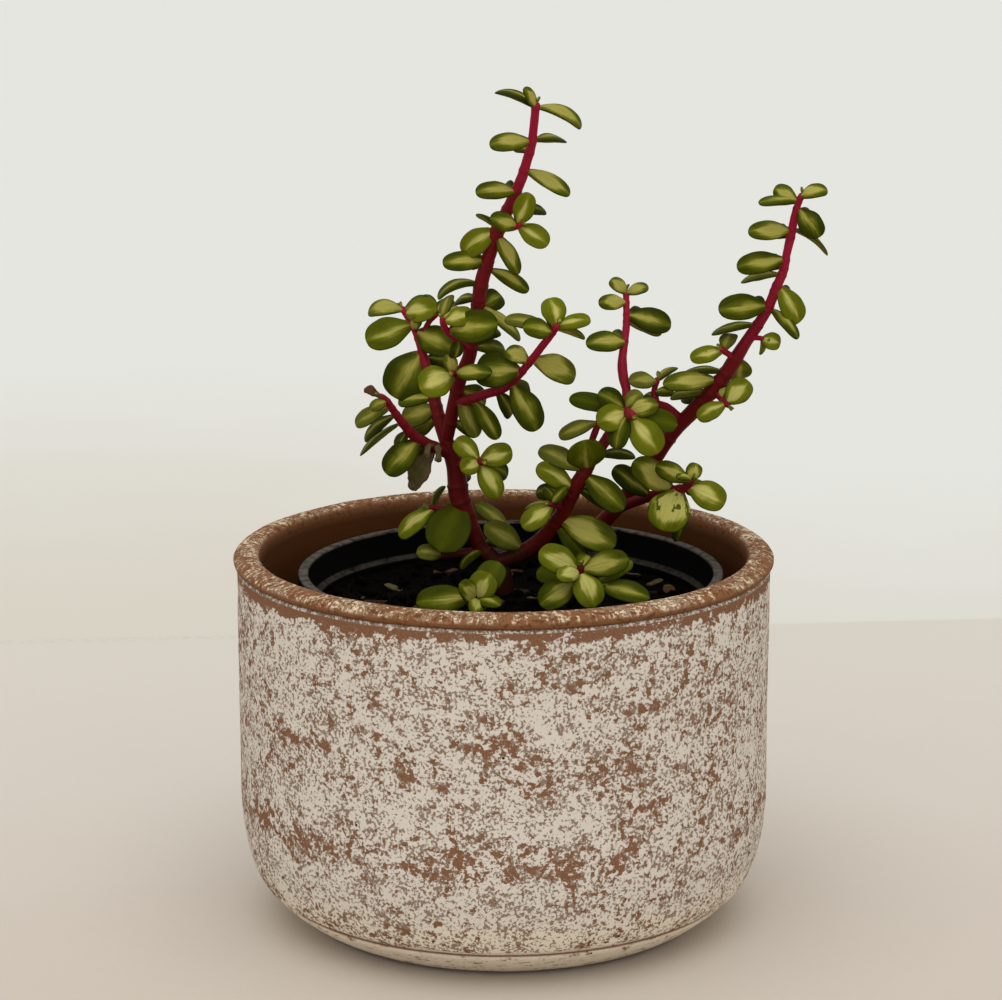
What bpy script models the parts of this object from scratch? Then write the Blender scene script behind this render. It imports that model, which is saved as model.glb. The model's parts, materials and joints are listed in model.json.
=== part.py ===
"""Elephant bush with variegated leaves, in a black nursery pot inside a clay pot.

Sizes are in millimetres up to the point where a mesh is made. The pots stand on z = 0 round
the Z axis. Stems and leaves are placed by how they look from the front: across and up, as
if on the pot's middle plane, and how far behind that plane they are.
"""
import math
from typing import NamedTuple

import bmesh
import bpy
from mathutils import Vector
from mathutils.bvhtree import BVHTree

MM = 0.001
GAP = 0.3
MERGE = 0.00001

# Clay pot: radii and heights of its turned outline
CLAY_RIM_RADIUS = 76.0
CLAY_RIM_HEIGHT = 106.5
CLAY_RIM_WIDTH = 7.2
CLAY_WALL_RADIUS = 75.0
CLAY_SHOULDER_HEIGHT = 38.0
CLAY_GROOVE_RADIUS = 65.4
CLAY_GROOVE_HEIGHT = 9.5
CLAY_FOOT_RADIUS = 53.0
CLAY_FLOOR = 8.0
CLAY_STEPS = 40

# Nursery pot: it stands on the clay pot's floor, a little to the right
NURSERY_ACROSS = 2.0
NURSERY_LIP_RADIUS = 60.0
NURSERY_LIP_WIDTH = 3.0
NURSERY_LIP_HEIGHT = 100.0
NURSERY_LIP_DEPTH = 3.2
NURSERY_STEP_RADIUS = 54.6
NURSERY_STEP_HEIGHT = 91.6
NURSERY_FOOT_RADIUS = 44.0
NURSERY_WALL = 1.2
NURSERY_STEPS = 36
DRAIN_COUNT = 6
DRAIN_RADIUS = 1.8
DRAIN_RING = 30.0
DRAIN_DEPTH = 6.0

# Soil: how high it is and how uneven
SOIL_HEIGHT = 88.6
SOIL_WAVE = 1.1
SOIL_RINGS = 6
SOIL_STEPS = 32

# Eye in front of the pot that the placings are seen from
EYE = Vector((0.0, -900.0, 330.75))

# Leaf blade: sides round it, rows along it, how its width and thickness change from foot to tip
BLADE_SIDES = 4
BLADE_ROWS = 6
SMALL_BLADE_ROWS = 5
SMALL_BLADE = 8.0
BLADE_THICK = 1.4
FOOT_THICKER = 1.25
FOOT_NARROWER = 0.45
TIP_WIDER = 1.37
BLADE_CUP = 0.05
FALLEN_ARCH = 0.5

# Stems: roundness of stems and cutters, how far a leaf's foot stays inside its stem's tip
STEM_BEVEL = 1
CUTTER_BEVEL = 4
FOOT_SINK = 1.1
SHARP_ANGLE = math.radians(40.0)


class Joint(NamedTuple):
    """A point on a stem's middle line: across, up, behind, and the stem's radius there."""
    x: float
    z: float
    back: float
    radius: float


class Leaf(NamedTuple):
    """A leaf: foot and tip as (across, up), width, turn of its face, how far the tip is back."""
    foot: tuple
    tip: tuple
    width: float
    roll: float = 15.0
    lean: float = 0.0
    arch: float = 0.8


TRUNK = [
    Joint(0.5, 86.0, 16.0, 3.0), Joint(0.3, 92.0, 16.0, 3.0), Joint(-0.5, 98.0, 15.5, 2.9),
    Joint(-2.5, 102.5, 15.0, 2.6), Joint(-6.3, 106.5, 15.0, 2.3), Joint(-9.0, 112.0, 15.0, 2.4),
    Joint(-11.3, 118.0, 15.0, 2.8), Joint(-12.6, 122.0, 15.0, 3.0), Joint(-13.6, 130.0, 15.0, 2.6),
    Joint(-16.0, 137.0, 15.0, 2.1), Joint(-17.3, 141.0, 16.0, 2.0), Joint(-18.4, 145.0, 17.5, 1.9),
    Joint(-20.0, 152.0, 20.5, 1.7), Joint(-21.4, 158.0, 23.0, 1.5), Joint(-23.0, 163.5, 26.0, 1.2),
    Joint(-24.6, 168.5, 29.0, 1.0), Joint(-26.0, 171.0, 30.5, 0.95), Joint(-28.0, 174.5, 32.5, 0.9),
]
TRUNK_LEAVES = [
    Leaf((-28.0, 174.6), (-37.6, 173.4), 6.0, 40.0, 2.0, 1.8),
    Leaf((-27.8, 174.2), (-19.2, 177.0), 5.0, 35.0, 5.0, 1.2),
    Leaf((-27.0, 173.3), (-18.3, 174.3), 7.0, 15.0, -6.0),
    Leaf((-25.2, 170.0), (-38.2, 165.2), 9.0, 15.0, -2.0),
    Leaf((-24.4, 168.1), (-13.6, 162.8), 8.6, 8.0, -9.0),
    Leaf((-22.8, 162.6), (-30.4, 149.1), 11.6, 10.0, -3.0),
    Leaf((-22.0, 160.5), (-14.5, 158.5), 6.0, 30.0, 6.0),
    Leaf((-24.9, 169.0), (-23.0, 172.0), 3.4, 20.0, -4.5),
    Leaf((-19.3, 149.0), (-29.5, 148.0), 5.4, 35.0, 4.0),
    Leaf((-18.6, 146.5), (-28.2, 142.7), 6.6, 20.0, 2.0),
    Leaf((-12.0, 119.5), (-18.0, 105.0), 13.3, 8.0, -8.0),
    Leaf((-5.0, 105.0), (-12.0, 99.8), 4.0, 55.0, -5.0, 1.6),
    Leaf((-21.4, 158.0), (-26.6, 156.4), 6.0, 20.0, 9.0),
    Leaf((-23.8, 166.0), (-19.0, 166.0), 5.4, 30.0, 8.0),
    Leaf((-10.4, 115.6), (-14.4, 112.0), 7.0, 170.0, 9.0),
    Leaf((-13.0, 124.0), (-12.4, 127.8), 7.0, 10.0, 9.0),
]
CROWN_TWIG = [
    Joint(-23.3, 164.5, 26.5, 1.0), Joint(-22.0, 168.0, 27.0, 0.9), Joint(-20.5, 171.0, 27.5, 0.8),
    Joint(-18.8, 172.6, 28.0, 0.8),
]
CROWN_TWIG_LEAVES = [
    Leaf((-19.6, 172.0), (-14.0, 177.0), 4.6, 40.0, 5.0),
    Leaf((-19.6, 172.0), (-21.6, 178.6), 4.6, 45.0, 3.0),
]
LOW_SHOOT = [
    Joint(-14.6, 133.0, 15.0, 1.8), Joint(-18.0, 134.6, 12.5, 1.8), Joint(-22.0, 136.5, 9.0, 1.8),
    Joint(-25.5, 138.8, 6.0, 1.6), Joint(-28.5, 142.5, 3.0, 1.4), Joint(-31.0, 146.0, 0.5, 1.2),
    Joint(-32.5, 148.3, -1.0, 1.0), Joint(-34.3, 149.8, -2.0, 0.8),
]
LOW_SHOOT_LEAVES = [
    Leaf((-34.0, 149.7), (-38.6, 151.6), 2.6, 30.0, 0.0),
    Leaf((-33.0, 148.0), (-37.2, 146.0), 3.4, 20.0, -3.0),
    Leaf((-31.5, 146.5), (-41.5, 141.5), 6.0, 45.0, 2.0),
    Leaf((-30.0, 144.5), (-39.0, 137.2), 5.0, 50.0, 7.0),
    Leaf((-28.6, 142.2), (-40.3, 132.6), 6.0, 80.0, -3.0),
    Leaf((-26.5, 140.0), (-29.5, 133.6), 5.0, 40.0, 8.5),
    Leaf((-23.5, 137.5), (-33.0, 127.5), 8.5, 10.0, -4.0),
    Leaf((-18.5, 134.8), (-25.5, 123.3), 6.0, 25.0, 0.0, 1.6),
    Leaf((-22.4, 137.0), (-24.6, 132.0), 5.6, 160.0, 8.0),
]
TRUNK_ROSETTE = [
    Joint(-13.3, 130.0, 15.0, 1.2), Joint(-9.5, 130.8, 8.0, 1.1), Joint(-6.2, 131.0, 1.5, 1.1),
]
TRUNK_ROSETTE_LEAVES = [
    Leaf((-6.5, 131.5), (-13.5, 137.5), 6.2, 15.0, 2.0),
    Leaf((-5.8, 131.2), (2.5, 134.0), 7.0, 15.0, 0.0),
    Leaf((-6.5, 130.8), (-12.0, 128.6), 5.6, 10.0, -5.0),
    Leaf((-5.8, 130.3), (-1.5, 120.5), 7.0, 15.0, -3.0),
    Leaf((-6.0, 130.5), (1.2, 127.0), 6.0, 30.0, 3.0),
]
BASE_SPRIG = [
    Joint(-11.6, 118.8, 15.0, 1.0), Joint(-16.0, 117.6, 14.0, 0.9), Joint(-20.5, 118.0, 13.0, 0.8),
]
BASE_SPRIG_LEAVES = [
    Leaf((-19.8, 117.9), (-29.6, 109.0), 5.4, 30.0, 0.0),
    Leaf((-20.3, 118.2), (-25.0, 114.2), 4.4, 60.0, 4.0),
    Leaf((-20.3, 118.2), (-16.3, 124.1), 3.4, 70.0, 2.0),
]
DEAD_STUB = [
    Joint(-5.5, 105.5, 15.0, 1.6), Joint(-12.0, 104.6, 13.5, 1.7), Joint(-18.0, 104.0, 12.5, 1.5),
]
DEAD_STUB_LEAVES = [
    Leaf((-17.4, 104.0), (-24.6, 104.6), 6.0, 30.0, -2.0),
]

TALL_STEM = [
    Joint(-16.0, 137.5, 15.0, 2.0), Joint(-15.0, 142.0, 13.5, 2.0), Joint(-13.6, 148.5, 12.0, 2.0),
    Joint(-12.0, 155.0, 10.5, 2.0), Joint(-9.7, 160.5, 9.5, 2.0), Joint(-8.7, 166.0, 9.0, 2.0),
    Joint(-7.2, 175.0, 8.0, 2.0), Joint(-6.3, 181.0, 7.0, 2.1), Joint(-4.6, 187.5, 5.5, 2.0),
    Joint(-2.2, 195.0, 3.5, 2.1), Joint(1.5, 203.0, 1.0, 1.7), Joint(4.8, 210.5, -1.5, 1.5),
    Joint(6.2, 215.0, -3.0, 1.4), Joint(7.6, 220.0, -5.0, 1.3), Joint(8.2, 225.0, -7.0, 1.2),
    Joint(8.8, 230.8, -9.5, 1.2),
]
TALL_LEAVES = [
    Leaf((8.3, 230.6), (-2.5, 234.3), 5.5, 60.0, 2.0, 1.4),
    Leaf((8.2, 230.4), (5.4, 235.7), 3.4, 40.0, -3.0),
    Leaf((9.0, 230.4), (21.2, 224.6), 6.0, 62.0, 1.0, 1.8),
    Leaf((7.6, 221.0), (-3.9, 219.8), 6.2, 25.0, -4.0),
    Leaf((8.2, 221.0), (17.0, 220.9), 6.5, 72.0, 4.0),
    Leaf((5.6, 213.0), (18.3, 206.2), 6.0, 40.0, 0.0),
    Leaf((4.0, 207.0), (-7.8, 206.7), 6.0, 40.0, -4.0),
    Leaf((1.0, 202.0), (11.7, 201.5), 5.0, 50.0, 7.0),
    Leaf((-1.8, 197.0), (-7.5, 200.2), 5.0, 82.0, 5.0),
    Leaf((-2.0, 196.5), (-11.5, 190.2), 7.5, 15.0, 2.0),
    Leaf((-4.6, 187.8), (-17.0, 187.2), 6.0, 20.0, -3.0),
    Leaf((-2.2, 195.5), (4.0, 184.0), 5.5, 20.0, -3.0),
    Leaf((-4.5, 185.7), (7.0, 179.3), 5.0, 35.0, 1.0),
    Leaf((-6.5, 181.0), (-18.3, 177.2), 5.5, 70.0, 0.0, 2.2),
    Leaf((-6.8, 173.6), (-0.8, 178.4), 7.2, 20.0, 6.0),
    Leaf((-7.2, 177.0), (-13.5, 176.0), 5.0, 65.0, 7.0),
    Leaf((-6.8, 175.5), (4.7, 165.5), 5.0, 120.0, 1.0),
    Leaf((-8.6, 166.0), (-1.0, 168.0), 4.6, 30.0, 6.0),
    Leaf((-8.8, 163.5), (0.4, 163.0), 5.6, 35.0, 7.0),
    Leaf((-15.0, 142.5), (-7.6, 138.6), 4.6, 40.0, 3.0),
    Leaf((7.2, 218.0), (4.2, 220.2), 5.4, 10.0, 9.0),
    Leaf((3.6, 207.6), (0.0, 207.6), 5.0, 30.0, 8.0),
    Leaf((-2.4, 194.6), (-6.0, 194.0), 5.4, 30.0, 9.0),
    Leaf((-4.8, 186.8), (-9.0, 187.6), 5.2, 20.0, 9.0),
    Leaf((-8.0, 170.0), (-6.2, 171.6), 6.0, 10.0, 10.0),
    Leaf((-13.0, 151.6), (-4.6, 149.8), 6.6, 20.0, 8.0),
]
TALL_TWIG = [
    Joint(-1.6, 196.8, 3.0, 1.0), Joint(2.2, 197.0, -1.5, 0.9), Joint(4.6, 198.0, -4.0, 0.9),
]
TALL_TWIG_LEAVES = [
    Leaf((4.4, 198.2), (7.5, 206.6), 6.5, 15.0, -3.0),
    Leaf((4.6, 198.0), (12.3, 192.2), 6.5, 15.0, -3.0),
    Leaf((3.6, 197.6), (-3.9, 199.6), 5.8, 10.0, -4.0),
]
SIDE_TWIG = [
    Joint(-9.3, 163.2, 9.2, 1.2), Joint(-12.6, 165.6, 5.0, 1.1), Joint(-16.0, 168.6, 1.0, 1.0),
    Joint(-17.0, 171.4, -1.0, 0.9),
]
SIDE_TWIG_LEAVES = [
    Leaf((-15.4, 168.2), (-1.6, 170.2), 9.8, 8.0, -7.0),
    Leaf((-17.0, 171.0), (-8.4, 172.9), 6.0, 20.0, 0.0),
    Leaf((-17.0, 171.2), (-12.0, 174.4), 4.6, 40.0, 4.0, 3.0),
    Leaf((-17.0, 171.4), (-14.4, 178.4), 4.4, 45.0, 5.0),
    Leaf((-13.0, 166.0), (-14.0, 160.6), 4.6, 30.0, 0.0),
]
ROUND_TWIG = [
    Joint(-11.8, 155.4, 10.5, 1.1), Joint(-13.2, 156.0, 5.0, 1.0), Joint(-14.4, 156.3, 1.0, 0.9),
]
ROUND_TWIG_LEAVES = [
    Leaf((-14.2, 156.5), (-3.4, 156.2), 5.0, 20.0, -12.0),
    Leaf((-14.4, 156.5), (-16.2, 161.4), 4.2, 20.0, 0.0),
    Leaf((-14.3, 156.0), (-23.6, 152.7), 9.8, 10.0, -4.0),
]
LEANING_SHOOT = [
    Joint(-13.6, 147.6, 12.2, 1.6), Joint(-9.0, 149.0, 8.0, 1.6), Joint(-4.5, 150.5, 4.0, 1.6),
    Joint(0.0, 152.0, 0.5, 1.5), Joint(3.5, 155.0, -2.5, 1.4), Joint(6.5, 158.5, -5.5, 1.4),
    Joint(10.0, 163.0, -9.0, 1.3), Joint(13.0, 167.0, -12.0, 1.2), Joint(14.8, 169.6, -14.0, 1.0),
]
LEANING_LEAVES = [
    Leaf((13.4, 168.0), (5.3, 169.3), 6.2, 15.0, -5.0),
    Leaf((13.6, 168.4), (0.2, 171.6), 5.0, 40.0, 4.0),
    Leaf((14.6, 169.3), (12.9, 177.6), 7.2, 20.0, 3.0),
    Leaf((15.0, 169.6), (24.2, 171.5), 5.0, 35.0, 1.0),
    Leaf((14.3, 168.8), (22.5, 165.8), 5.0, 115.0, 2.0),
    Leaf((7.6, 160.2), (20.0, 155.0), 6.5, 150.0, 3.0),
    Leaf((2.2, 153.6), (9.5, 140.0), 8.8, 10.0, -3.0),
    Leaf((-2.0, 151.2), (2.0, 144.0), 5.4, 30.0, 5.0),
    Leaf((5.0, 157.0), (-8.0, 156.9), 10.4, 10.0, 5.0),
    Leaf((7.0, 159.2), (0.8, 162.8), 5.0, 30.0, 3.0),
    Leaf((-9.0, 149.0), (-1.5, 137.4), 6.0, 25.0, -3.0),
    Leaf((-12.0, 148.4), (-8.2, 139.4), 6.4, 15.0, -4.5),
    Leaf((-1.0, 151.8), (-1.4, 157.6), 6.0, 10.0, 10.0),
    Leaf((3.0, 154.4), (6.2, 148.8), 5.6, 170.0, 8.0),
    Leaf((13.8, 168.2), (13.6, 174.6), 5.4, 10.0, 9.0),
]

MIDDLE_STEM = [
    Joint(-1.8, 102.4, 15.0, 2.2), Joint(1.5, 103.2, 14.7, 2.3), Joint(5.0, 104.6, 14.0, 2.4),
    Joint(9.8, 107.8, 12.5, 2.4), Joint(13.8, 112.2, 10.5, 2.3), Joint(16.8, 116.8, 8.5, 2.1),
    Joint(19.3, 122.0, 6.5, 2.1), Joint(21.5, 126.0, 5.5, 2.2), Joint(24.5, 131.0, 4.8, 1.7),
    Joint(27.5, 135.5, 5.0, 1.6), Joint(29.8, 139.3, 6.0, 1.5), Joint(32.2, 143.5, 7.5, 1.4),
    Joint(34.0, 148.0, 9.5, 1.3), Joint(34.2, 151.5, 11.5, 1.3), Joint(33.4, 155.0, 13.5, 1.4),
    Joint(33.0, 158.6, 15.5, 1.4), Joint(33.2, 162.0, 17.0, 1.2), Joint(33.8, 167.0, 19.5, 1.1),
    Joint(34.1, 171.0, 21.5, 1.05), Joint(33.9, 179.2, 25.5, 0.9),
]
MIDDLE_LEAVES = [
    Leaf((33.8, 178.8), (29.5, 182.5), 4.2, 35.0, 1.0),
    Leaf((34.0, 178.8), (40.2, 180.4), 4.2, 40.0, -1.0),
    Leaf((33.9, 176.2), (26.3, 176.0), 4.8, 15.0, -4.0),
    Leaf((34.1, 172.8), (46.6, 169.6), 7.7, 10.0, -1.0),
    Leaf((34.1, 171.0), (43.6, 167.0), 6.0, 130.0, 4.0),
    Leaf((34.0, 165.0), (22.8, 164.6), 6.4, 15.0, -5.0, 1.4),
    Leaf((23.4, 129.0), (22.6, 137.4), 11.2, 5.0, -9.0),
    Leaf((22.6, 128.6), (9.7, 134.5), 7.0, 25.0, 2.0),
    Leaf((19.8, 123.4), (9.2, 129.8), 6.6, 15.0, -3.0),
    Leaf((18.9, 121.6), (9.0, 122.3), 5.6, 30.0, 4.0),
    Leaf((22.4, 127.4), (33.8, 117.2), 8.0, 10.0, -5.0),
    Leaf((20.3, 123.4), (30.0, 117.6), 4.8, 30.0, 4.0),
    Leaf((25.6, 132.6), (37.0, 132.4), 5.0, 60.0, 3.0),
    Leaf((15.8, 114.6), (31.6, 106.6), 9.6, 15.0, -6.0),
    Leaf((14.6, 113.2), (23.2, 102.6), 6.4, 25.0, -3.0),
    Leaf((5.2, 106.0), (-5.4, 113.0), 7.4, 10.0, -4.0),
    Leaf((4.2, 104.6), (-5.2, 108.4), 4.6, 55.0, 3.0),
    Leaf((23.6, 129.6), (25.0, 134.2), 7.4, 10.0, 9.0),
    Leaf((33.9, 172.4), (39.4, 172.6), 5.4, 30.0, 8.0),
    Leaf((33.7, 165.6), (29.4, 166.4), 5.4, 30.0, 8.0),
    Leaf((14.4, 113.0), (20.6, 110.8), 6.4, 160.0, 7.0),
    Leaf((19.2, 121.8), (23.0, 124.6), 6.0, 20.0, 9.0),
]
MIDDLE_TWIG = [
    Joint(22.3, 127.6, 5.4, 1.2), Joint(23.6, 132.0, 4.6, 1.1), Joint(24.7, 137.0, 4.2, 1.0),
    Joint(25.8, 140.2, 3.8, 1.0), Joint(26.8, 143.0, 3.4, 0.9),
]
MIDDLE_TWIG_LEAVES = [
    Leaf((26.4, 142.4), (15.4, 138.0), 5.0, 30.0, 0.0),
]
OVAL_TWIG = [
    Joint(16.9, 117.4, 8.3, 0.9), Joint(15.0, 118.4, 5.0, 0.8), Joint(13.1, 118.8, 2.5, 0.8),
]
OVAL_TWIG_LEAVES = [
    Leaf((13.6, 118.8), (17.9, 123.6), 4.2, 30.0, -3.0),
    Leaf((13.2, 118.9), (11.0, 123.4), 3.4, 50.0, 2.0),
    Leaf((13.3, 118.6), (5.2, 111.9), 6.8, 8.0, -4.0),
    Leaf((13.2, 118.7), (6.0, 117.2), 4.4, 65.0, 2.0),
]
FORK_TWIG = [
    Joint(4.4, 104.8, 14.2, 1.0), Joint(3.0, 108.0, 17.5, 0.9), Joint(1.6, 111.4, 20.0, 0.9),
]
FORK_TWIG_LEAVES = [
    Leaf((1.8, 111.0), (-8.2, 118.8), 6.2, 45.0, 1.0),
]
CLUSTER = [
    Joint(33.2, 146.2, 8.7, 1.4), Joint(34.0, 145.5, 3.0, 1.4), Joint(34.9, 144.8, -3.0, 1.4),
    Joint(36.0, 144.0, -7.5, 1.3),
]
CLUSTER_LEAVES = [
    Leaf((33.9, 145.8), (18.2, 149.0), 5.8, 25.0, 1.0),
    Leaf((34.0, 145.9), (26.2, 150.4), 7.4, 20.0, -3.0),
    Leaf((34.4, 145.9), (38.4, 151.0), 5.4, 30.0, 0.0),
    Leaf((35.0, 145.3), (43.2, 147.2), 6.0, 15.0, -3.0),
    Leaf((34.6, 145.0), (26.0, 142.2), 8.0, 5.0, -5.0),
    Leaf((35.2, 143.9), (43.4, 133.4), 9.4, 8.0, -4.0),
    Leaf((35.4, 144.4), (48.6, 141.4), 6.8, 20.0, 1.0),
    Leaf((34.6, 144.4), (31.4, 134.6), 6.8, 30.0, -4.0),
    Leaf((34.8, 145.0), (39.0, 141.4), 6.4, 160.0, 8.0),
]

THICK_STEM = [
    Joint(14.0, 88.0, 29.5, 2.3), Joint(15.0, 95.5, 29.0, 2.3), Joint(19.0, 103.0, 28.0, 2.3),
    Joint(25.0, 110.5, 26.0, 2.3), Joint(31.5, 117.5, 24.0, 2.3), Joint(37.0, 124.5, 22.0, 2.3),
    Joint(42.0, 131.5, 20.0, 2.2), Joint(45.5, 136.8, 18.0, 2.1), Joint(48.8, 141.3, 16.5, 2.2),
    Joint(52.6, 145.2, 15.0, 2.2), Joint(57.0, 150.0, 13.5, 2.2), Joint(61.0, 154.8, 12.0, 2.2),
    Joint(64.3, 160.0, 10.5, 2.1), Joint(67.3, 165.0, 9.0, 1.7), Joint(70.6, 170.0, 7.5, 1.6),
    Joint(73.4, 175.0, 6.0, 1.5), Joint(75.5, 180.5, 4.5, 1.45), Joint(77.3, 185.0, 3.5, 1.3),
    Joint(78.2, 190.0, 2.5, 1.2), Joint(79.2, 195.0, 1.5, 1.3), Joint(80.1, 200.0, 0.0, 1.15),
    Joint(80.9, 203.3, -1.0, 1.0), Joint(81.9, 206.0, -2.0, 0.9),
]
THICK_LEAVES = [
    Leaf((81.8, 205.7), (89.1, 207.2), 4.6, 35.0, -2.0, 1.6),
    Leaf((81.0, 204.5), (74.2, 207.8), 4.8, 15.0, 3.0),
    Leaf((80.9, 204.0), (70.1, 203.7), 5.0, 65.0, -4.0),
    Leaf((81.0, 202.5), (87.3, 194.5), 6.8, 8.0, -3.0),
    Leaf((79.5, 196.3), (67.3, 195.9), 5.9, 15.0, -1.0),
    Leaf((79.8, 196.6), (89.4, 189.3), 5.0, 80.0, 2.0, 1.4),
    Leaf((78.0, 188.3), (64.3, 186.0), 6.6, 15.0, -1.0),
    Leaf((76.8, 184.0), (65.6, 181.9), 5.0, 65.0, 5.0),
    Leaf((73.6, 175.3), (59.5, 174.2), 7.9, 15.0, -2.0),
    Leaf((70.3, 170.0), (57.6, 167.2), 5.0, 55.0, 3.0),
    Leaf((76.0, 181.0), (82.2, 170.6), 7.4, 12.0, 2.0),
    Leaf((74.0, 174.5), (81.8, 165.9), 5.0, 40.0, -4.0),
    Leaf((64.5, 161.0), (65.8, 154.7), 7.6, 10.0, 6.0),
    Leaf((59.5, 154.6), (44.3, 153.0), 6.6, 20.0, -4.0),
    Leaf((61.6, 156.4), (50.2, 156.4), 4.6, 66.0, 3.0),
    Leaf((57.0, 151.0), (46.5, 149.4), 5.0, 40.0, 5.0),
    Leaf((72.8, 174.0), (67.6, 176.0), 6.4, 20.0, 9.0),
    Leaf((77.4, 186.0), (72.6, 187.6), 5.6, 20.0, 9.0),
    Leaf((79.0, 194.6), (74.4, 196.2), 5.2, 20.0, 8.0),
    Leaf((75.0, 179.4), (79.4, 177.4), 5.8, 20.0, 9.0),
    Leaf((55.4, 148.2), (50.6, 150.2), 6.2, 20.0, 10.0),
    Leaf((80.6, 201.6), (83.8, 199.4), 4.8, 160.0, 7.0),
    Leaf((46.4, 138.0), (42.0, 137.0), 6.0, 160.0, 8.0),
]
FAN_TWIG = [Joint(68.4, 166.4, 8.6, 0.8), Joint(71.0, 166.2, 6.5, 0.7), Joint(72.4, 165.9, 5.5, 0.7)]
FAN_TWIG_LEAVES = [
    Leaf((72.0, 165.9), (76.9, 164.4), 5.2, 8.0, -1.0),
    Leaf((71.8, 165.9), (71.2, 161.7), 3.0, 70.0, 1.0),
]
NOTCH_TWIG = [Joint(64.3, 160.5, 10.4, 1.0), Joint(62.2, 161.9, 8.5, 0.9), Joint(60.7, 163.0, 7.0, 0.9)]
NOTCH_TWIG_LEAVES = [
    Leaf((61.0, 162.9), (63.8, 167.4), 5.6, 35.0, 3.0),
    Leaf((61.0, 162.9), (51.9, 160.2), 5.2, 20.0, -2.0),
]
LOW_TWIG = [Joint(59.0, 151.0, 13.0, 1.1), Joint(61.0, 148.9, 9.5, 1.0), Joint(62.6, 147.2, 7.0, 0.9)]
LOW_TWIG_LEAVES = [
    Leaf((62.4, 147.4), (68.4, 154.0), 7.4, 5.0, 0.0),
    Leaf((62.2, 147.5), (54.2, 143.2), 5.4, 15.0, -2.0),
    Leaf((61.2, 149.0), (62.0, 152.2), 2.6, 40.0, 3.0),
]
LEFT_TWIG = [
    Joint(49.6, 143.2, 16.1, 1.3), Joint(45.6, 146.6, 14.5, 1.2), Joint(42.8, 147.8, 13.5, 1.1),
    Joint(42.0, 151.0, 14.0, 0.9), Joint(42.8, 154.6, 15.0, 0.8),
]
LEFT_TWIG_LEAVES = [
    Leaf((43.4, 147.6), (39.4, 150.0), 4.0, 40.0, 4.0),
    Leaf((42.2, 150.6), (47.4, 150.4), 4.0, 40.0, -3.0),
    Leaf((42.6, 154.2), (34.9, 153.8), 5.6, 30.0, -5.0),
    Leaf((42.8, 154.4), (48.4, 157.8), 4.0, 62.0, 3.0),
]
LOW_RIGHT_SHOOT = [
    Joint(31.5, 117.5, 24.0, 1.7), Joint(36.0, 119.3, 19.5, 1.6), Joint(41.0, 121.0, 13.5, 1.5),
    Joint(45.0, 122.2, 8.0, 1.4), Joint(48.5, 123.0, 3.5, 1.4), Joint(51.0, 123.6, 0.5, 1.3),
    Joint(52.8, 125.8, -1.5, 0.9),
]
LOW_RIGHT_LEAVES = [
    Leaf((49.5, 123.2), (44.3, 111.2), 11.9, 5.0, -6.0),
    Leaf((52.2, 125.4), (42.6, 129.9), 5.8, 12.0, 0.0),
    Leaf((52.8, 125.8), (54.3, 130.5), 4.6, 10.0, 1.0),
    Leaf((51.4, 124.0), (62.4, 119.0), 8.2, 10.0, -2.0),
    Leaf((52.4, 125.4), (48.6, 126.2), 3.4, 65.0, -4.0),
    Leaf((50.0, 123.3), (48.8, 108.0), 6.0, 40.0, 3.0),
    Leaf((41.2, 121.1), (30.6, 129.2), 6.9, 15.0, -1.0),
    Leaf((47.6, 122.8), (36.1, 131.1), 7.8, 10.0, -2.0),
    Leaf((47.4, 122.8), (45.8, 118.0), 6.2, 170.0, 9.0),
    Leaf((51.2, 124.0), (56.6, 122.2), 5.6, 160.0, 8.0),
]

FRONT_RIGHT = [
    Joint(20.5, 81.0, -4.0, 1.6), Joint(21.0, 90.0, -6.0, 1.5), Joint(21.3, 95.0, -8.0, 1.4),
    Joint(21.7, 100.4, -10.0, 1.2),
]
FRONT_RIGHT_LEAVES = [
    Leaf((21.2, 99.8), (10.0, 105.2), 8.4, 10.0, -2.0),
    Leaf((21.3, 99.2), (15.0, 97.6), 5.0, 10.0, -6.0),
    Leaf((21.6, 99.2), (25.7, 88.8), 9.0, 10.0, -6.0),
    Leaf((22.2, 99.8), (35.3, 103.0), 7.6, 10.0, -2.0),
    Leaf((20.9, 96.4), (10.2, 89.4), 9.0, 20.0, -3.0),
    Leaf((20.8, 96.0), (9.2, 99.0), 6.8, 30.0, 4.0),
    Leaf((21.5, 98.6), (24.2, 103.8), 6.4, 10.0, 9.0),
]
FRONT_TWIG = [Joint(21.2, 94.4, -8.0, 1.0), Joint(24.2, 95.0, -9.0, 0.9), Joint(27.2, 95.2, -10.0, 0.9)]
FRONT_TWIG_LEAVES = [
    Leaf((26.6, 95.2), (41.4, 91.4), 6.2, 25.0, -2.0),
    Leaf((25.4, 95.2), (36.4, 102.2), 5.4, 25.0, 4.0),
]

FRONT_LEFT = [
    Joint(-6.0, 80.0, -14.0, 1.6), Joint(-6.4, 86.0, -16.0, 1.5), Joint(-7.6, 90.4, -18.5, 1.3),
    Joint(-8.6, 93.2, -20.0, 1.1),
]
FRONT_LEFT_LEAVES = [
    Leaf((-8.4, 91.6), (-24.8, 90.0), 8.6, 20.0, -2.0),
    Leaf((-8.2, 91.4), (-12.6, 95.8), 6.0, 15.0, -6.0),
    Leaf((-8.0, 91.2), (-8.4, 86.6), 5.0, 20.0, -8.0),
    Leaf((-8.0, 91.4), (-3.6, 98.6), 8.6, 10.0, -2.0),
    Leaf((-7.0, 91.0), (-1.2, 102.0), 8.6, 20.0, 5.0),
    Leaf((-7.6, 90.6), (-0.8, 89.2), 5.4, 40.0, -7.0),
]


class Fallen(NamedTuple):
    """A fallen leaf: where it lies, which way it points, its length and width."""
    x: float
    y: float
    turn: float
    length: float
    width: float


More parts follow.
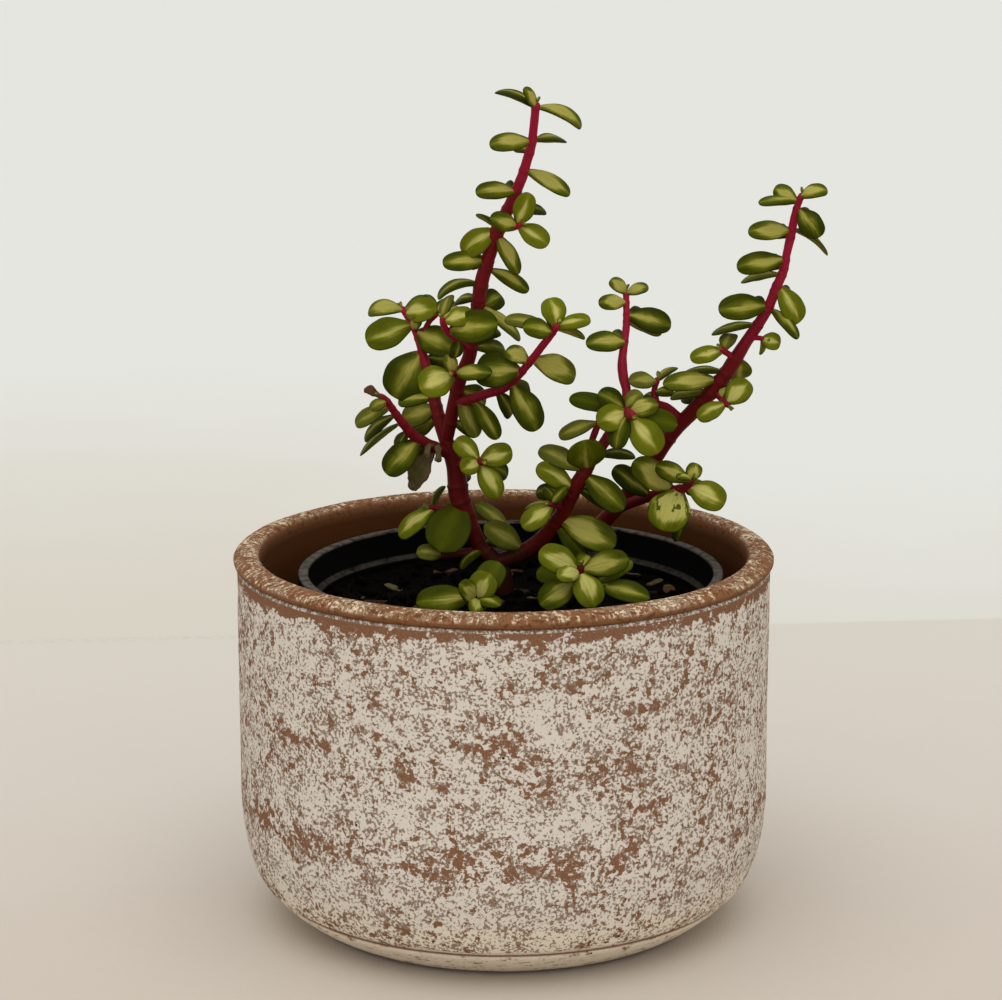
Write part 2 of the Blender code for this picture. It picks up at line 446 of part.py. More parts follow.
FALLEN_LEAVES = [
    Fallen(38.0, 33.0, 250.0, 7.5, 4.4),
    Fallen(44.0, 25.0, 20.0, 5.5, 3.4),
    Fallen(47.5, 12.0, 100.0, 6.0, 3.8),
    Fallen(8.5, 2.0, 255.0, 6.5, 4.6),
    Fallen(-32.0, 22.0, 160.0, 6.0, 3.6),
]


def clear_scene():
    """Take away every object and collection that the file opened with."""
    for item in list(bpy.data.objects):
        bpy.data.objects.remove(item, do_unlink=True)
    for group in list(bpy.data.collections):
        bpy.data.collections.remove(group)


def new_collection(name):
    """A collection linked to the scene."""
    group = bpy.data.collections.new(name)
    bpy.context.scene.collection.children.link(group)
    return group


def material(name, colour, roughness, metallic=0.0):
    """A plain finish: base colour, roughness and metallic value."""
    made = bpy.data.materials.new(name)
    made.use_nodes = True
    shader = made.node_tree.nodes["Principled BSDF"]
    shader.inputs["Base Color"].default_value = (*colour, 1.0)
    shader.inputs["Roughness"].default_value = roughness
    shader.inputs["Metallic"].default_value = metallic
    return made


def seen(x, z, back):
    """Place that looks to be at (x, z) on the pot's middle plane and lies back behind it."""
    reach = (back - EYE.y) / -EYE.y
    return EYE + (Vector((x, 0.0, z)) - EYE) * reach


def new_object(name, mesh, group):
    """An object for a mesh, linked to a collection."""
    made = bpy.data.objects.new(name, mesh)
    group.objects.link(made)
    return made


def evaluated_mesh(item):
    """The mesh of an object with its modifiers or its curve settings worked in."""
    bpy.context.view_layer.update()
    graph = bpy.context.evaluated_depsgraph_get()
    return bpy.data.meshes.new_from_object(item.evaluated_get(graph))


def tube(name, joints, group, bevel=STEM_BEVEL, gap=0.0):
    """A stem: a poly curve with a radius at each joint, made a closed mesh.

    With a gap, its flats lie that far outside the stem, for a cutter.
    """
    curve = bpy.data.curves.new(name, "CURVE")
    curve.dimensions = "3D"
    curve.bevel_depth = MM
    curve.bevel_resolution = bevel
    corner = math.cos(math.pi / (4 + 2 * bevel)) if gap else 1.0
    curve.use_fill_caps = True
    spline = curve.splines.new("POLY")
    spline.points.add(len(joints) - 1)
    for point, joint in zip(spline.points, joints):
        point.co = (*(seen(joint.x, joint.z, joint.back) * MM), 1.0)
        point.radius = (joint.radius + gap) / corner
    rail = new_object(name + "_rail", curve, group)
    mesh = evaluated_mesh(rail)
    bpy.data.objects.remove(rail, do_unlink=True)
    shell = bmesh.new()
    shell.from_mesh(mesh)
    bmesh.ops.remove_doubles(shell, verts=shell.verts, dist=MERGE)
    bmesh.ops.recalc_face_normals(shell, faces=shell.faces)
    shell.to_mesh(mesh)
    shell.free()
    return new_object(name, mesh, group)


def foot_place(joints, foot):
    """Where a leaf's foot sits inside its stem: the place nearest to it on the middle line.

    It stays FOOT_SINK short of the stem's tip, so that the foot is held all round.
    """
    spot = Vector(foot)
    nearest = None
    for low, high in zip(joints, joints[1:]):
        start = Vector((low.x, low.z))
        run = Vector((high.x, high.z)) - start
        most = 1.0 - FOOT_SINK / run.length if high is joints[-1] else 1.0
        along = max(0.0, min(most, (spot - start).dot(run) / run.length_squared))
        middle = start + run * along
        off = (spot - middle).length
        if nearest is None or off < nearest[0]:
            back = low.back + (high.back - low.back) * along
            radius = low.radius + (high.radius - low.radius) * along
            nearest = (off, middle, back, radius)
    off, middle, back, radius = nearest
    pull = min(1.0, 0.4 * radius / off) if off > 0.0 else 0.0
    place = middle + (spot - middle) * pull
    return place.x, place.y, back


def shape_blade(blade, foot, axis, side, face, width, arch):
    """Turn a ball with its poles at foot and tip into an obovate blade on a narrow foot."""
    for vert in blade.verts:
        along = (1.0 + vert.co.z) / 2.0
        swell = FOOT_NARROWER + (TIP_WIDER - FOOT_NARROWER) * along
        across = vert.co.x * swell
        depth = BLADE_THICK / 2.0 * vert.co.y * (FOOT_THICKER + (1.0 - FOOT_THICKER) * along)
        bow = arch * (1.0 - (2.0 * along - 1.0) ** 2) + BLADE_CUP * width * across * across
        vert.co = (foot + axis * along + side * (width / 2.0 * across) + face * (depth + bow)) * MM


def blade_ball(size):
    """The ball that a blade starts from, with one vertex at each side of its width."""
    ball = bmesh.new()
    rows = SMALL_BLADE_ROWS if size < SMALL_BLADE else BLADE_ROWS
    bmesh.ops.create_uvsphere(ball, u_segments=BLADE_SIDES, v_segments=rows, radius=1.0)
    return ball


def finish_blade(ball, name, group):
    """Make a shaped ball an object, its faces turned outwards."""
    bmesh.ops.recalc_face_normals(ball, faces=ball.faces)
    mesh = bpy.data.meshes.new(name)
    ball.to_mesh(mesh)
    ball.free()
    return new_object(name, mesh, group)


def leaf_blade(name, leaf, joints, group):
    """A leaf on its stem, its face turned from the eye by its roll."""
    x, z, back = foot_place(joints, leaf.foot)
    foot = seen(x, z, back)
    tip = seen(*leaf.tip, back + leaf.lean)
    axis = tip - foot
    along = axis.normalized()
    to_eye = (EYE - foot).normalized()
    face = (to_eye - along * to_eye.dot(along)).normalized()
    side = along.cross(face)
    if side.z + 0.2 * side.x < 0.0:
        side.negate()
    turn = math.radians(leaf.roll)
    normal = face * math.cos(turn) + side * math.sin(turn)
    ball = blade_ball(leaf.width)
    shape_blade(ball, foot, axis, along.cross(normal), normal, leaf.width, leaf.arch)
    return finish_blade(ball, name, group)


def stem_cutter(name, joints):
    """A cutter that leaves GAP round a stem."""
    cutter = tube(name, joints, CUTTERS, CUTTER_BEVEL, GAP)
    cutter.display_type = "WIRE"
    cutter.hide_render = True
    return cutter


def leafy_stem(name, branches, finish, group, cut_by=None):
    """Join a stem, its twigs and all their leaves in one closed body.

    branches holds (joints, leaves) pairs, the main stem first. cut_by gives the joints of
    the stem that it springs from, which it stops short of by GAP.
    """
    pieces = new_collection(name + "_pieces")
    (main, _), *_ = branches
    body = tube(name, main, group)
    for number, (joints, leaves) in enumerate(branches):
        if number:
            tube(f"{name}_twig_{number}", joints, pieces)
        for count, leaf in enumerate(leaves):
            leaf_blade(f"{name}_leaf_{number}_{count}", leaf, joints, pieces)
    join = body.modifiers.new("join", "BOOLEAN")
    join.operation = "UNION"
    join.operand_type = "COLLECTION"
    join.collection = pieces
    if cut_by:
        trim = body.modifiers.new("trim", "BOOLEAN")
        trim.operation = "DIFFERENCE"
        trim.object = stem_cutter(name + "_cutter", cut_by)
    whole = evaluated_mesh(body)
    body.modifiers.clear()
    body.data = whole
    for piece in list(pieces.objects):
        bpy.data.objects.remove(piece, do_unlink=True)
    bpy.data.collections.remove(pieces)
    keep_largest(whole)
    body.data.materials.clear()
    body.data.materials.append(finish)
    body.data.set_sharp_from_angle(angle=SHARP_ANGLE)
    return body


def keep_largest(mesh):
    """Drop loose scraps that a cut leaves, keeping the biggest connected body."""
    shell = bmesh.new()
    shell.from_mesh(mesh)
    left = set(shell.verts)
    islands = []
    while left:
        stack = [left.pop()]
        island = set(stack)
        while stack:
            for edge in stack.pop().link_edges:
                for vert in edge.verts:
                    if vert not in island:
                        island.add(vert)
                        stack.append(vert)
        left -= island
        islands.append(island)
    islands.sort(key=len)
    scraps = [vert for island in islands[:-1] for vert in island]
    bmesh.ops.delete(shell, geom=scraps, context="VERTS")
    shell.to_mesh(mesh)
    shell.free()


def turned(name, outline, steps, group, centre=(0.0, 0.0)):
    """A closed body turned from an outline of (radius, height) that ends on the axis."""
    mesh = bpy.data.meshes.new(name)
    points = [(radius * MM, 0.0, height * MM) for radius, height in outline]
    mesh.from_pydata(points, [(i, i + 1) for i in range(len(points) - 1)], [])
    body = new_object(name, mesh, group)
    screw = body.modifiers.new("turn", "SCREW")
    screw.steps = steps
    screw.render_steps = steps
    screw.use_merge_vertices = True
    screw.merge_threshold = MERGE
    screw.use_normal_calculate = False
    body.location = (centre[0] * MM, centre[1] * MM, 0.0)
    return body


def arc(centre, radii, start, end, count):
    """Points on an ellipse's arc, from one angle in degrees to another, ends included."""
    points = []
    for i in range(count):
        angle = math.radians(start + (end - start) * i / (count - 1))
        points.append((centre[0] + radii[0] * math.cos(angle), centre[1] + radii[1] * math.sin(angle)))
    return points


def clay_inside():
    """Inside of the clay pot, from the middle of its floor up to the rim."""
    inner = CLAY_RIM_RADIUS - CLAY_RIM_WIDTH
    floor_radius = CLAY_FOOT_RADIUS - 3.0
    curve = (inner - 1.8 - floor_radius, CLAY_SHOULDER_HEIGHT - CLAY_FLOOR)
    rounding = arc((floor_radius, CLAY_SHOULDER_HEIGHT), curve, -88.0, 0.0, 5)
    return [(0.0, CLAY_FLOOR), *rounding, (inner - 1.4, 70.0), (inner - 0.4, CLAY_RIM_HEIGHT - 3.5)]


def clay_rim():
    """The rim: a top that slopes outwards, and a bead that stands out over the wall."""
    inner = CLAY_RIM_RADIUS - CLAY_RIM_WIDTH
    return [
        (inner + 0.6, CLAY_RIM_HEIGHT - 0.4),
        (inner + 2.4, CLAY_RIM_HEIGHT),
        (CLAY_RIM_RADIUS - 2.2, CLAY_RIM_HEIGHT - 0.4),
        (CLAY_RIM_RADIUS - 0.6, CLAY_RIM_HEIGHT - 1.3),
        (CLAY_RIM_RADIUS, CLAY_RIM_HEIGHT - 2.6),
        (CLAY_RIM_RADIUS - 0.5, CLAY_RIM_HEIGHT - 4.2),
        (CLAY_WALL_RADIUS - 0.4, CLAY_RIM_HEIGHT - 5.0),
    ]


def clay_outside():
    """Outside of the clay pot: the wall, the rounding with its groove, and the flat foot."""
    curve = (CLAY_WALL_RADIUS - CLAY_GROOVE_RADIUS, CLAY_SHOULDER_HEIGHT - CLAY_GROOVE_HEIGHT)
    rounding = arc((CLAY_GROOVE_RADIUS, CLAY_SHOULDER_HEIGHT), curve, 0.0, -70.0, 6)
    return [
        (CLAY_WALL_RADIUS, CLAY_RIM_HEIGHT - 6.4),
        *rounding,
        (CLAY_GROOVE_RADIUS + 1.2, CLAY_GROOVE_HEIGHT + 0.9),
        (CLAY_GROOVE_RADIUS, CLAY_GROOVE_HEIGHT),
        (CLAY_GROOVE_RADIUS + 0.4, CLAY_GROOVE_HEIGHT - 0.9),
        (CLAY_FOOT_RADIUS + 6.5, 3.2),
        (CLAY_FOOT_RADIUS + 1.2, 0.5),
        (CLAY_FOOT_RADIUS, 0.0),
        (0.0, 0.0),
    ]


def clay_pot(group):
    """The clay pot that the whole stands in."""
    pot = turned("clay_pot", clay_inside() + clay_rim() + clay_outside(), CLAY_STEPS, group)
    pot.data.materials.append(material("clay", (0.38, 0.22, 0.14), 0.85))
    return pot


def nursery_inner_radius(height):
    """Inner radius of the nursery pot at a height under its step."""
    base = CLAY_FLOOR + GAP
    share = (height - base) / (NURSERY_STEP_HEIGHT - base)
    low = NURSERY_FOOT_RADIUS - NURSERY_WALL
    return low + (NURSERY_STEP_RADIUS - low) * share


def nursery_outline():
    """Outline of the thin plastic pot with its step and its turned-out lip."""
    base = CLAY_FLOOR + GAP
    lip_inner = NURSERY_LIP_RADIUS - NURSERY_LIP_WIDTH
    top = NURSERY_LIP_HEIGHT
    return [
        (0.0, base + NURSERY_WALL),
        (nursery_inner_radius(base + NURSERY_WALL), base + NURSERY_WALL),
        (NURSERY_STEP_RADIUS, NURSERY_STEP_HEIGHT),
        (lip_inner - 1.0, NURSERY_STEP_HEIGHT + 0.4),
        (lip_inner, top - 0.6),
        (lip_inner + 0.7, top),
        (NURSERY_LIP_RADIUS - 0.6, top),
        (NURSERY_LIP_RADIUS, top - 0.6),
        (NURSERY_LIP_RADIUS, top - NURSERY_LIP_DEPTH),
        (lip_inner + NURSERY_WALL, top - NURSERY_LIP_DEPTH),
        (lip_inner + NURSERY_WALL - 0.8, NURSERY_STEP_HEIGHT - 1.0),
        (NURSERY_STEP_RADIUS + NURSERY_WALL, NURSERY_STEP_HEIGHT - 1.6),
        (NURSERY_FOOT_RADIUS + 0.4, base + 1.0),
        (NURSERY_FOOT_RADIUS - 0.6, base),
        (0.0, base),
    ]


def nursery_pot(group):
    """The black plastic pot, with a ring of drain holes in its floor."""
    pot = turned("nursery_pot", nursery_outline(), NURSERY_STEPS, group, (NURSERY_ACROSS, 0.0))
    drains = new_collection("drain_cutters")
    for number in range(DRAIN_COUNT):
        angle = math.tau * number / DRAIN_COUNT
        drill = bmesh.new()
        bmesh.ops.create_cone(
            drill, cap_ends=True, segments=8, radius1=DRAIN_RADIUS * MM, radius2=DRAIN_RADIUS * MM,
            depth=DRAIN_DEPTH * MM)
        mesh = bpy.data.meshes.new(f"drain_{number}")
        drill.to_mesh(mesh)
        drill.free()
        hole = new_object(f"drain_{number}", mesh, drains)
        ring = Vector((DRAIN_RING * math.cos(angle), DRAIN_RING * math.sin(angle), 0.0))
        hole.location = (ring + Vector((NURSERY_ACROSS, 0.0, CLAY_FLOOR))) * MM
        hole.display_type = "WIRE"
        hole.hide_render = True
    drilling = pot.modifiers.new("drains", "BOOLEAN")
    drilling.operation = "DIFFERENCE"
    drilling.operand_type = "COLLECTION"
    drilling.collection = drains
    pot.data.materials.append(material("black_plastic", (0.012, 0.012, 0.013), 0.35))
    return pot


def soil_rise(x, y):
    """Height of the soil's uneven surface over its mean, in millimetres."""
    waves = math.sin(0.17 * x + 0.6) * math.cos(0.13 * y - 0.4) + 0.6 * math.sin(0.31 * x - 0.23 * y + 1.7)
    edge = (math.hypot(x, y) / NURSERY_STEP_RADIUS) ** 4
    return SOIL_WAVE * (0.6 * waves + 0.9 * edge)


def soil(group, roots):
    """The soil: fills the nursery pot, with a plain hole for each root."""
    floor = CLAY_FLOOR + GAP + NURSERY_WALL + GAP
    top_radius = nursery_inner_radius(SOIL_HEIGHT) - GAP
    outline = [(top_radius * ring / SOIL_RINGS, SOIL_HEIGHT) for ring in range(SOIL_RINGS + 1)]
    outline += [(nursery_inner_radius(floor) - GAP, floor), (0.0, floor)]
    body = turned("soil", outline, SOIL_STEPS, group)
    mesh = evaluated_mesh(body)
    body.modifiers.clear()
    body.data = mesh
    for vert in mesh.vertices:
        if vert.co.z > (SOIL_HEIGHT - 1.0) * MM:
            vert.co.z += soil_rise(vert.co.x / MM, vert.co.y / MM) * MM
            radius = math.hypot(vert.co.x, vert.co.y)
            room = (nursery_inner_radius(min(vert.co.z / MM, NURSERY_STEP_HEIGHT)) - GAP) * MM
            if radius > room:
                vert.co.x *= room / radius
                vert.co.y *= room / radius
        vert.co.x += NURSERY_ACROSS * MM
    for number, joints in enumerate(roots):
        end = joints[0]
        deeper = [end._replace(z=end.z - 2.0 * GAP)] + list(joints[1:4])
        bore = body.modifiers.new(f"hole_{number}", "BOOLEAN")
        bore.operation = "DIFFERENCE"
        bore.object = stem_cutter(f"root_hole_{number}", deeper)
    body.data.materials.append(material("soil", (0.02, 0.015, 0.012), 0.95))
    return body


def fallen_leaf(number, fallen, ground, finish, group):
    """A fallen leaf that lies on the soil, GAP above its highest point there."""
    turn = math.radians(fallen.turn)
    axis = Vector((math.cos(turn), math.sin(turn), 0.0)) * fallen.length
    side = Vector((-math.sin(turn), math.cos(turn), 0.0))
    foot = Vector((fallen.x, fallen.y, SOIL_HEIGHT)) - axis / 2.0
    ball = blade_ball(fallen.width)
    up = Vector((0.0, 0.0, 1.0))
    shape_blade(ball, foot, axis, side, up, fallen.width, FALLEN_ARCH)
    lift = None
    for vert in ball.verts:
        hit = ground.ray_cast(vert.co + up * SOIL_HEIGHT * MM, -up)[0]
        need = hit.z + GAP * MM - vert.co.z
        lift = need if lift is None else max(lift, need)
    bmesh.ops.translate(ball, verts=ball.verts, vec=(0.0, 0.0, lift))
    body = finish_blade(ball, f"fallen_leaf_{number + 1}", group)
    body.data.materials.append(finish)
    return body


clear_scene()
PLANT = new_collection("potted_elephant_bush")
CUTTERS = new_collection("cutters")

green = material("leaf_and_stem", (0.16, 0.20, 0.05), 0.45)
dry = material("dry_leaf", (0.30, 0.26, 0.12), 0.7)

clay_pot(PLANT)
nursery_pot(PLANT)
ground = soil(PLANT, [TRUNK, THICK_STEM, FRONT_RIGHT, FRONT_LEFT])

leafy_stem("trunk", [
    (TRUNK, TRUNK_LEAVES), (CROWN_TWIG, CROWN_TWIG_LEAVES), (LOW_SHOOT, LOW_SHOOT_LEAVES),
    (TRUNK_ROSETTE, TRUNK_ROSETTE_LEAVES), (BASE_SPRIG, BASE_SPRIG_LEAVES),
    (DEAD_STUB, DEAD_STUB_LEAVES),
], green, PLANT)
leafy_stem("tall_stem", [
    (TALL_STEM, TALL_LEAVES), (TALL_TWIG, TALL_TWIG_LEAVES), (SIDE_TWIG, SIDE_TWIG_LEAVES),
    (ROUND_TWIG, ROUND_TWIG_LEAVES),
], green, PLANT, cut_by=TRUNK)
leafy_stem("leaning_shoot", [(LEANING_SHOOT, LEANING_LEAVES)], green, PLANT, cut_by=TALL_STEM)
leafy_stem("middle_stem", [
    (MIDDLE_STEM, MIDDLE_LEAVES), (MIDDLE_TWIG, MIDDLE_TWIG_LEAVES), (OVAL_TWIG, OVAL_TWIG_LEAVES),
    (FORK_TWIG, FORK_TWIG_LEAVES),
], green, PLANT, cut_by=TRUNK)
leafy_stem("leaf_cluster", [(CLUSTER, CLUSTER_LEAVES)], green, PLANT, cut_by=MIDDLE_STEM)
leafy_stem("thick_stem", [
    (THICK_STEM, THICK_LEAVES), (FAN_TWIG, FAN_TWIG_LEAVES), (NOTCH_TWIG, NOTCH_TWIG_LEAVES),
    (LOW_TWIG, LOW_TWIG_LEAVES),
], green, PLANT)
leafy_stem("left_twig", [(LEFT_TWIG, LEFT_TWIG_LEAVES)], green, PLANT, cut_by=THICK_STEM)
leafy_stem("low_right_shoot", [(LOW_RIGHT_SHOOT, LOW_RIGHT_LEAVES)], green, PLANT, cut_by=THICK_STEM)
leafy_stem("front_right_rosette", [
    (FRONT_RIGHT, FRONT_RIGHT_LEAVES), (FRONT_TWIG, FRONT_TWIG_LEAVES),
], green, PLANT)
leafy_stem("front_left_rosette", [(FRONT_LEFT, FRONT_LEFT_LEAVES)], green, PLANT)

surface = bmesh.new()
surface.from_mesh(evaluated_mesh(ground))
surface_tree = BVHTree.FromBMesh(surface)
for index, fallen in enumerate(FALLEN_LEAVES):
    fallen_leaf(index, fallen, surface_tree, dry, PLANT)
surface.free()
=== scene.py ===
"""Potted elephant bush with variegated leaves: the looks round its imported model.

Sizes and places are in millimetres up to the point where a mesh is made. Stems and leaves are
placed by how they look from the front: across and up, as if on the pot's middle plane, and how
far behind that plane they are.
"""

import json
import logging
import math
import random
from contextlib import contextmanager
from dataclasses import dataclass, field
from enum import Enum
from typing import Any, Callable, Iterator, NamedTuple, Optional, Union

import bmesh
import bpy
from mathutils import Matrix, Vector
from mathutils.kdtree import KDTree

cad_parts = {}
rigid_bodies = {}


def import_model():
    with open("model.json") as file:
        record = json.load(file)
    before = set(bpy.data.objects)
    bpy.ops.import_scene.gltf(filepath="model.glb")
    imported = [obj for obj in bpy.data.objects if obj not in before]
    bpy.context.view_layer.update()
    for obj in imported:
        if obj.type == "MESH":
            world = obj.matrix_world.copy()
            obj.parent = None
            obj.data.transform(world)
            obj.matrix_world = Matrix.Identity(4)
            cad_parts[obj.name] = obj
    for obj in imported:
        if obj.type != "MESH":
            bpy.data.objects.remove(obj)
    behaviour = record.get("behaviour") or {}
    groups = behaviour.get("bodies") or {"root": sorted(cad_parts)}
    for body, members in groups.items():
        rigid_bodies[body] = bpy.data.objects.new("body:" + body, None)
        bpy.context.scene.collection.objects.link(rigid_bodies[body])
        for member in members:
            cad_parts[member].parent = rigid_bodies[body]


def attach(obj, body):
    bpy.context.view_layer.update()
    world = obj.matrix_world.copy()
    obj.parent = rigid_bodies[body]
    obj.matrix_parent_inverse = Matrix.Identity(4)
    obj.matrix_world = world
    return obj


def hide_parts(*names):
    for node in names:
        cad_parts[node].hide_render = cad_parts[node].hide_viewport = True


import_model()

LOG = logging.getLogger("elephant_bush")

MM = 0.001
MERGE = 0.00001
BODY = "root"

# Eye in front of the pot that the placings are seen from
EYE = Vector((0.0, -900.0, 330.75))

# How far a leaf's foot stays inside its stem's tip, and how far off its middle line it sits at most
FOOT_SINK = 1.1
FOOT_OFF = 0.4

# A height over the soil, which things are let down on it from
ABOVE = 120.0

Piece = bpy.types.Object
Material = bpy.types.Material
Colour = tuple[float, float, float]
Point = tuple[float, float]
Run = tuple[Vector, Vector, Vector, Vector]


class Slot(Enum):
    """The finishes that the record names."""
    CLAY = "clay"
    PLASTIC = "black_plastic"
    SOIL = "soil"
    LEAF = "leaf_and_stem"
    DRY = "dry_leaf"


class Shade(NamedTuple):
    """A leaf's colouring: cream stripe's width, darkness of the green, youth, paleness, mottling."""
    cream: float
    dark: float
    young: float = 0.0
    pale: float = 0.0
    mottled: float = 0.0


class Tone(Enum):
    """The kinds of leaf colouring on this plant."""
    PLAIN = Shade(0.0, 0.62)
    DARK = Shade(0.12, 0.95)
    GREEN = Shade(0.26, 0.60)
    STRIPED = Shade(0.50, 0.62)
    NARROW = Shade(0.30, 0.90)
    YOUNG = Shade(0.30, 0.20, 0.8)
    BRIGHT = Shade(0.50, 0.28, 0.75)
    CREAM = Shade(0.78, 0.55, 0.1, 0.1)
    BLUSH = Shade(0.92, 0.55, 0.0, 0.5)
    PALE = Shade(0.38, 0.55, 0.0, 1.0)
    MOTTLED = Shade(0.92, 0.35, 0.5, 0.0, 1.0)
    OLIVE = Shade(0.18, 0.50, 0.4)
    WITHERED = Shade(0.60, 0.80, 0.0, 0.6)
    BUD = Shade(0.80, 0.25, 1.0, 0.2)


class Joint(NamedTuple):
    """A point on a stem's middle line: across, up, behind, and the stem's radius there."""
    x: float
    z: float
    back: float
    radius: float


class Leaf(NamedTuple):
    """A leaf: foot and tip, each across and up, width, tone, turn of its face, how far its tip is back."""
    foot_x: float
    foot_z: float
    tip_x: float
    tip_z: float
    width: float
    tone: Tone
    roll: float = 15.0
    lean: float = 0.0
    arch: float = 0.8


class Fallen(NamedTuple):
    """A fallen leaf: where it lies, which way it points, its length and width."""
    x: float
    y: float
    turn: float
    length: float
    width: float


class Branch(NamedTuple):
    """A stem or twig with the leaves on it."""
    joints: list[Joint]
    leaves: list[Leaf]


def branch(joints: list[tuple[float, ...]], *leaves: tuple[Any, ...]) -> Branch:
    """A stem or twig from its rows: first all its joints, then each of its leaves."""
    return Branch([Joint(*row) for row in joints], [Leaf(*row) for row in leaves])


TRUNK = branch(
    [(0.5, 86, 16, 3), (0.3, 92, 16, 3), (-0.5, 98, 15.5, 2.9), (-2.5, 102.5, 15, 2.6),
     (-6.3, 106.5, 15, 2.3), (-9, 112, 15, 2.4), (-11.3, 118, 15, 2.8), (-12.6, 122, 15, 3),
     (-13.6, 130, 15, 2.6), (-16, 137, 15, 2.1), (-17.3, 141, 16, 2), (-18.4, 145, 17.5, 1.9),
     (-20, 152, 20.5, 1.7), (-21.4, 158, 23, 1.5), (-23, 163.5, 26, 1.2), (-24.6, 168.5, 29, 1),
     (-26, 171, 30.5, 0.95), (-28, 174.5, 32.5, 0.9)],
    (-28, 174.6, -37.6, 173.4, 6, Tone.BLUSH, 40, 2, 1.8),
    (-27.8, 174.2, -19.2, 177, 5, Tone.GREEN, 35, 5, 1.2),
    (-27, 173.3, -18.3, 174.3, 8, Tone.BRIGHT, 15, -10),
    (-25.2, 170, -38.2, 165.2, 9.6, Tone.OLIVE, 15, -2),
    (-24.4, 168.1, -13.6, 162.8, 9.4, Tone.NARROW, 8, -9),
    (-22.8, 162.6, -30.4, 149.1, 13.2, Tone.NARROW, 10, -3),
    (-22, 160.5, -14.5, 158.5, 6, Tone.DARK, 30, 6),
    (-24.9, 169, -23, 172, 3.4, Tone.BLUSH, 20, -4.5),
    (-19.3, 149, -29.5, 148, 5.4, Tone.GREEN, 35, 4),
    (-18.6, 146.5, -28.2, 142.7, 7.4, Tone.PALE, 20, 2),
    (-18, 143.8, -25.6, 139.4, 6.4, Tone.DARK, 20, 5),
    (-12, 119.5, -18, 105, 13.3, Tone.PLAIN, 8, -8),
    (-5, 105, -12, 99.8, 4, Tone.DARK, 55, -5, 1.6),
    (-21.4, 158, -26.6, 156.4, 6, Tone.GREEN, 20, 9),
    (-23.8, 166, -19, 166, 5.4, Tone.STRIPED, 30, 8),
    (-10.4, 115.6, -14.4, 112, 7, Tone.GREEN, 170, 9),
    (-13, 124, -12.4, 127.8, 7, Tone.DARK, 10, 9),
)
CROWN_TWIG = branch(
    [(-23.3, 164.5, 26.5, 1), (-22, 168, 27, 0.9), (-20.5, 171, 27.5, 0.8), (-18.8, 172.6, 28, 0.8)],
    (-19.6, 172, -14, 177, 4.6, Tone.GREEN, 40, 5),
    (-19.6, 172, -21.6, 178.6, 4.6, Tone.DARK, 45, 3),
)
LOW_SHOOT = branch(
    [(-14.6, 133, 15, 1.7), (-18, 134.6, 12.5, 1.65), (-22, 136.5, 9, 1.6), (-25.5, 138.8, 6, 1.45),
     (-28.5, 142.5, 3, 1.3), (-31, 146, 0.5, 1.1), (-32.5, 148.3, -1, 1), (-34.3, 149.8, -2, 0.8)],
    (-34, 149.7, -38.6, 151.6, 2.6, Tone.WITHERED, 30),
    (-33, 148, -37.2, 146, 3.4, Tone.PALE, 20, -3),
    (-31.5, 146.5, -41.5, 141.5, 6, Tone.PALE, 45, 2),
    (-30, 144.5, -39, 137.2, 5, Tone.DARK, 50, 7),
    (-28.6, 142.2, -40.3, 132.6, 6, Tone.GREEN, 80, -3),
    (-26.5, 140, -29.5, 133.6, 5, Tone.DARK, 40, 8.5),
    (-23.5, 137.5, -33, 127.5, 8.5, Tone.NARROW, 10, -4),
    (-19.6, 134.6, -25.4, 123.3, 6.8, Tone.WITHERED, 25, 0, 1.6),
    (-17, 141.6, -21, 132, 2.6, Tone.WITHERED, 50, -6, 2.2),
    (-17.6, 138, -18.4, 130.6, 2, Tone.WITHERED, 20, -5, 2),
    (-22.4, 137, -24.6, 132, 5.6, Tone.GREEN, 160, 8),
)
TRUNK_ROSETTE = branch(
    [(-13.3, 130, 15, 1.2), (-9.5, 130.8, 8, 1.1), (-6.2, 131, 1.5, 1.1)],
    (-6.5, 131.5, -13.5, 137.5, 6.2, Tone.YOUNG, 15, 2),
    (-5.8, 131.2, 2.5, 134, 7, Tone.BRIGHT),
    (-6.5, 130.8, -12, 128.6, 5.6, Tone.BRIGHT, 10, -5),
    (-5.8, 130.3, -1.5, 120.5, 7, Tone.BRIGHT, 15, -3),
    (-6, 130.5, 1.2, 127, 6, Tone.DARK, 30, 3),
)
BASE_SPRIG = branch(
    [(-11.6, 118.8, 15, 1), (-16, 117.6, 14, 0.9), (-20.5, 118, 13, 0.8)],
    (-19.8, 117.5, -29.4, 109.4, 6.4, Tone.BRIGHT, 20),
    (-20.3, 118.2, -25, 114.2, 4.4, Tone.GREEN, 60, 4),
    (-20.3, 118.2, -16.3, 124.1, 3.4, Tone.DARK, 70, 2),
)
DEAD_STUB = branch(
    [(-5.5, 105.5, 15, 1.3), (-12, 104.6, 13.5, 1.2), (-18, 104, 12.5, 1)],
    (-17.4, 104, -24.6, 104.6, 6, Tone.PALE, 30, -2),
)
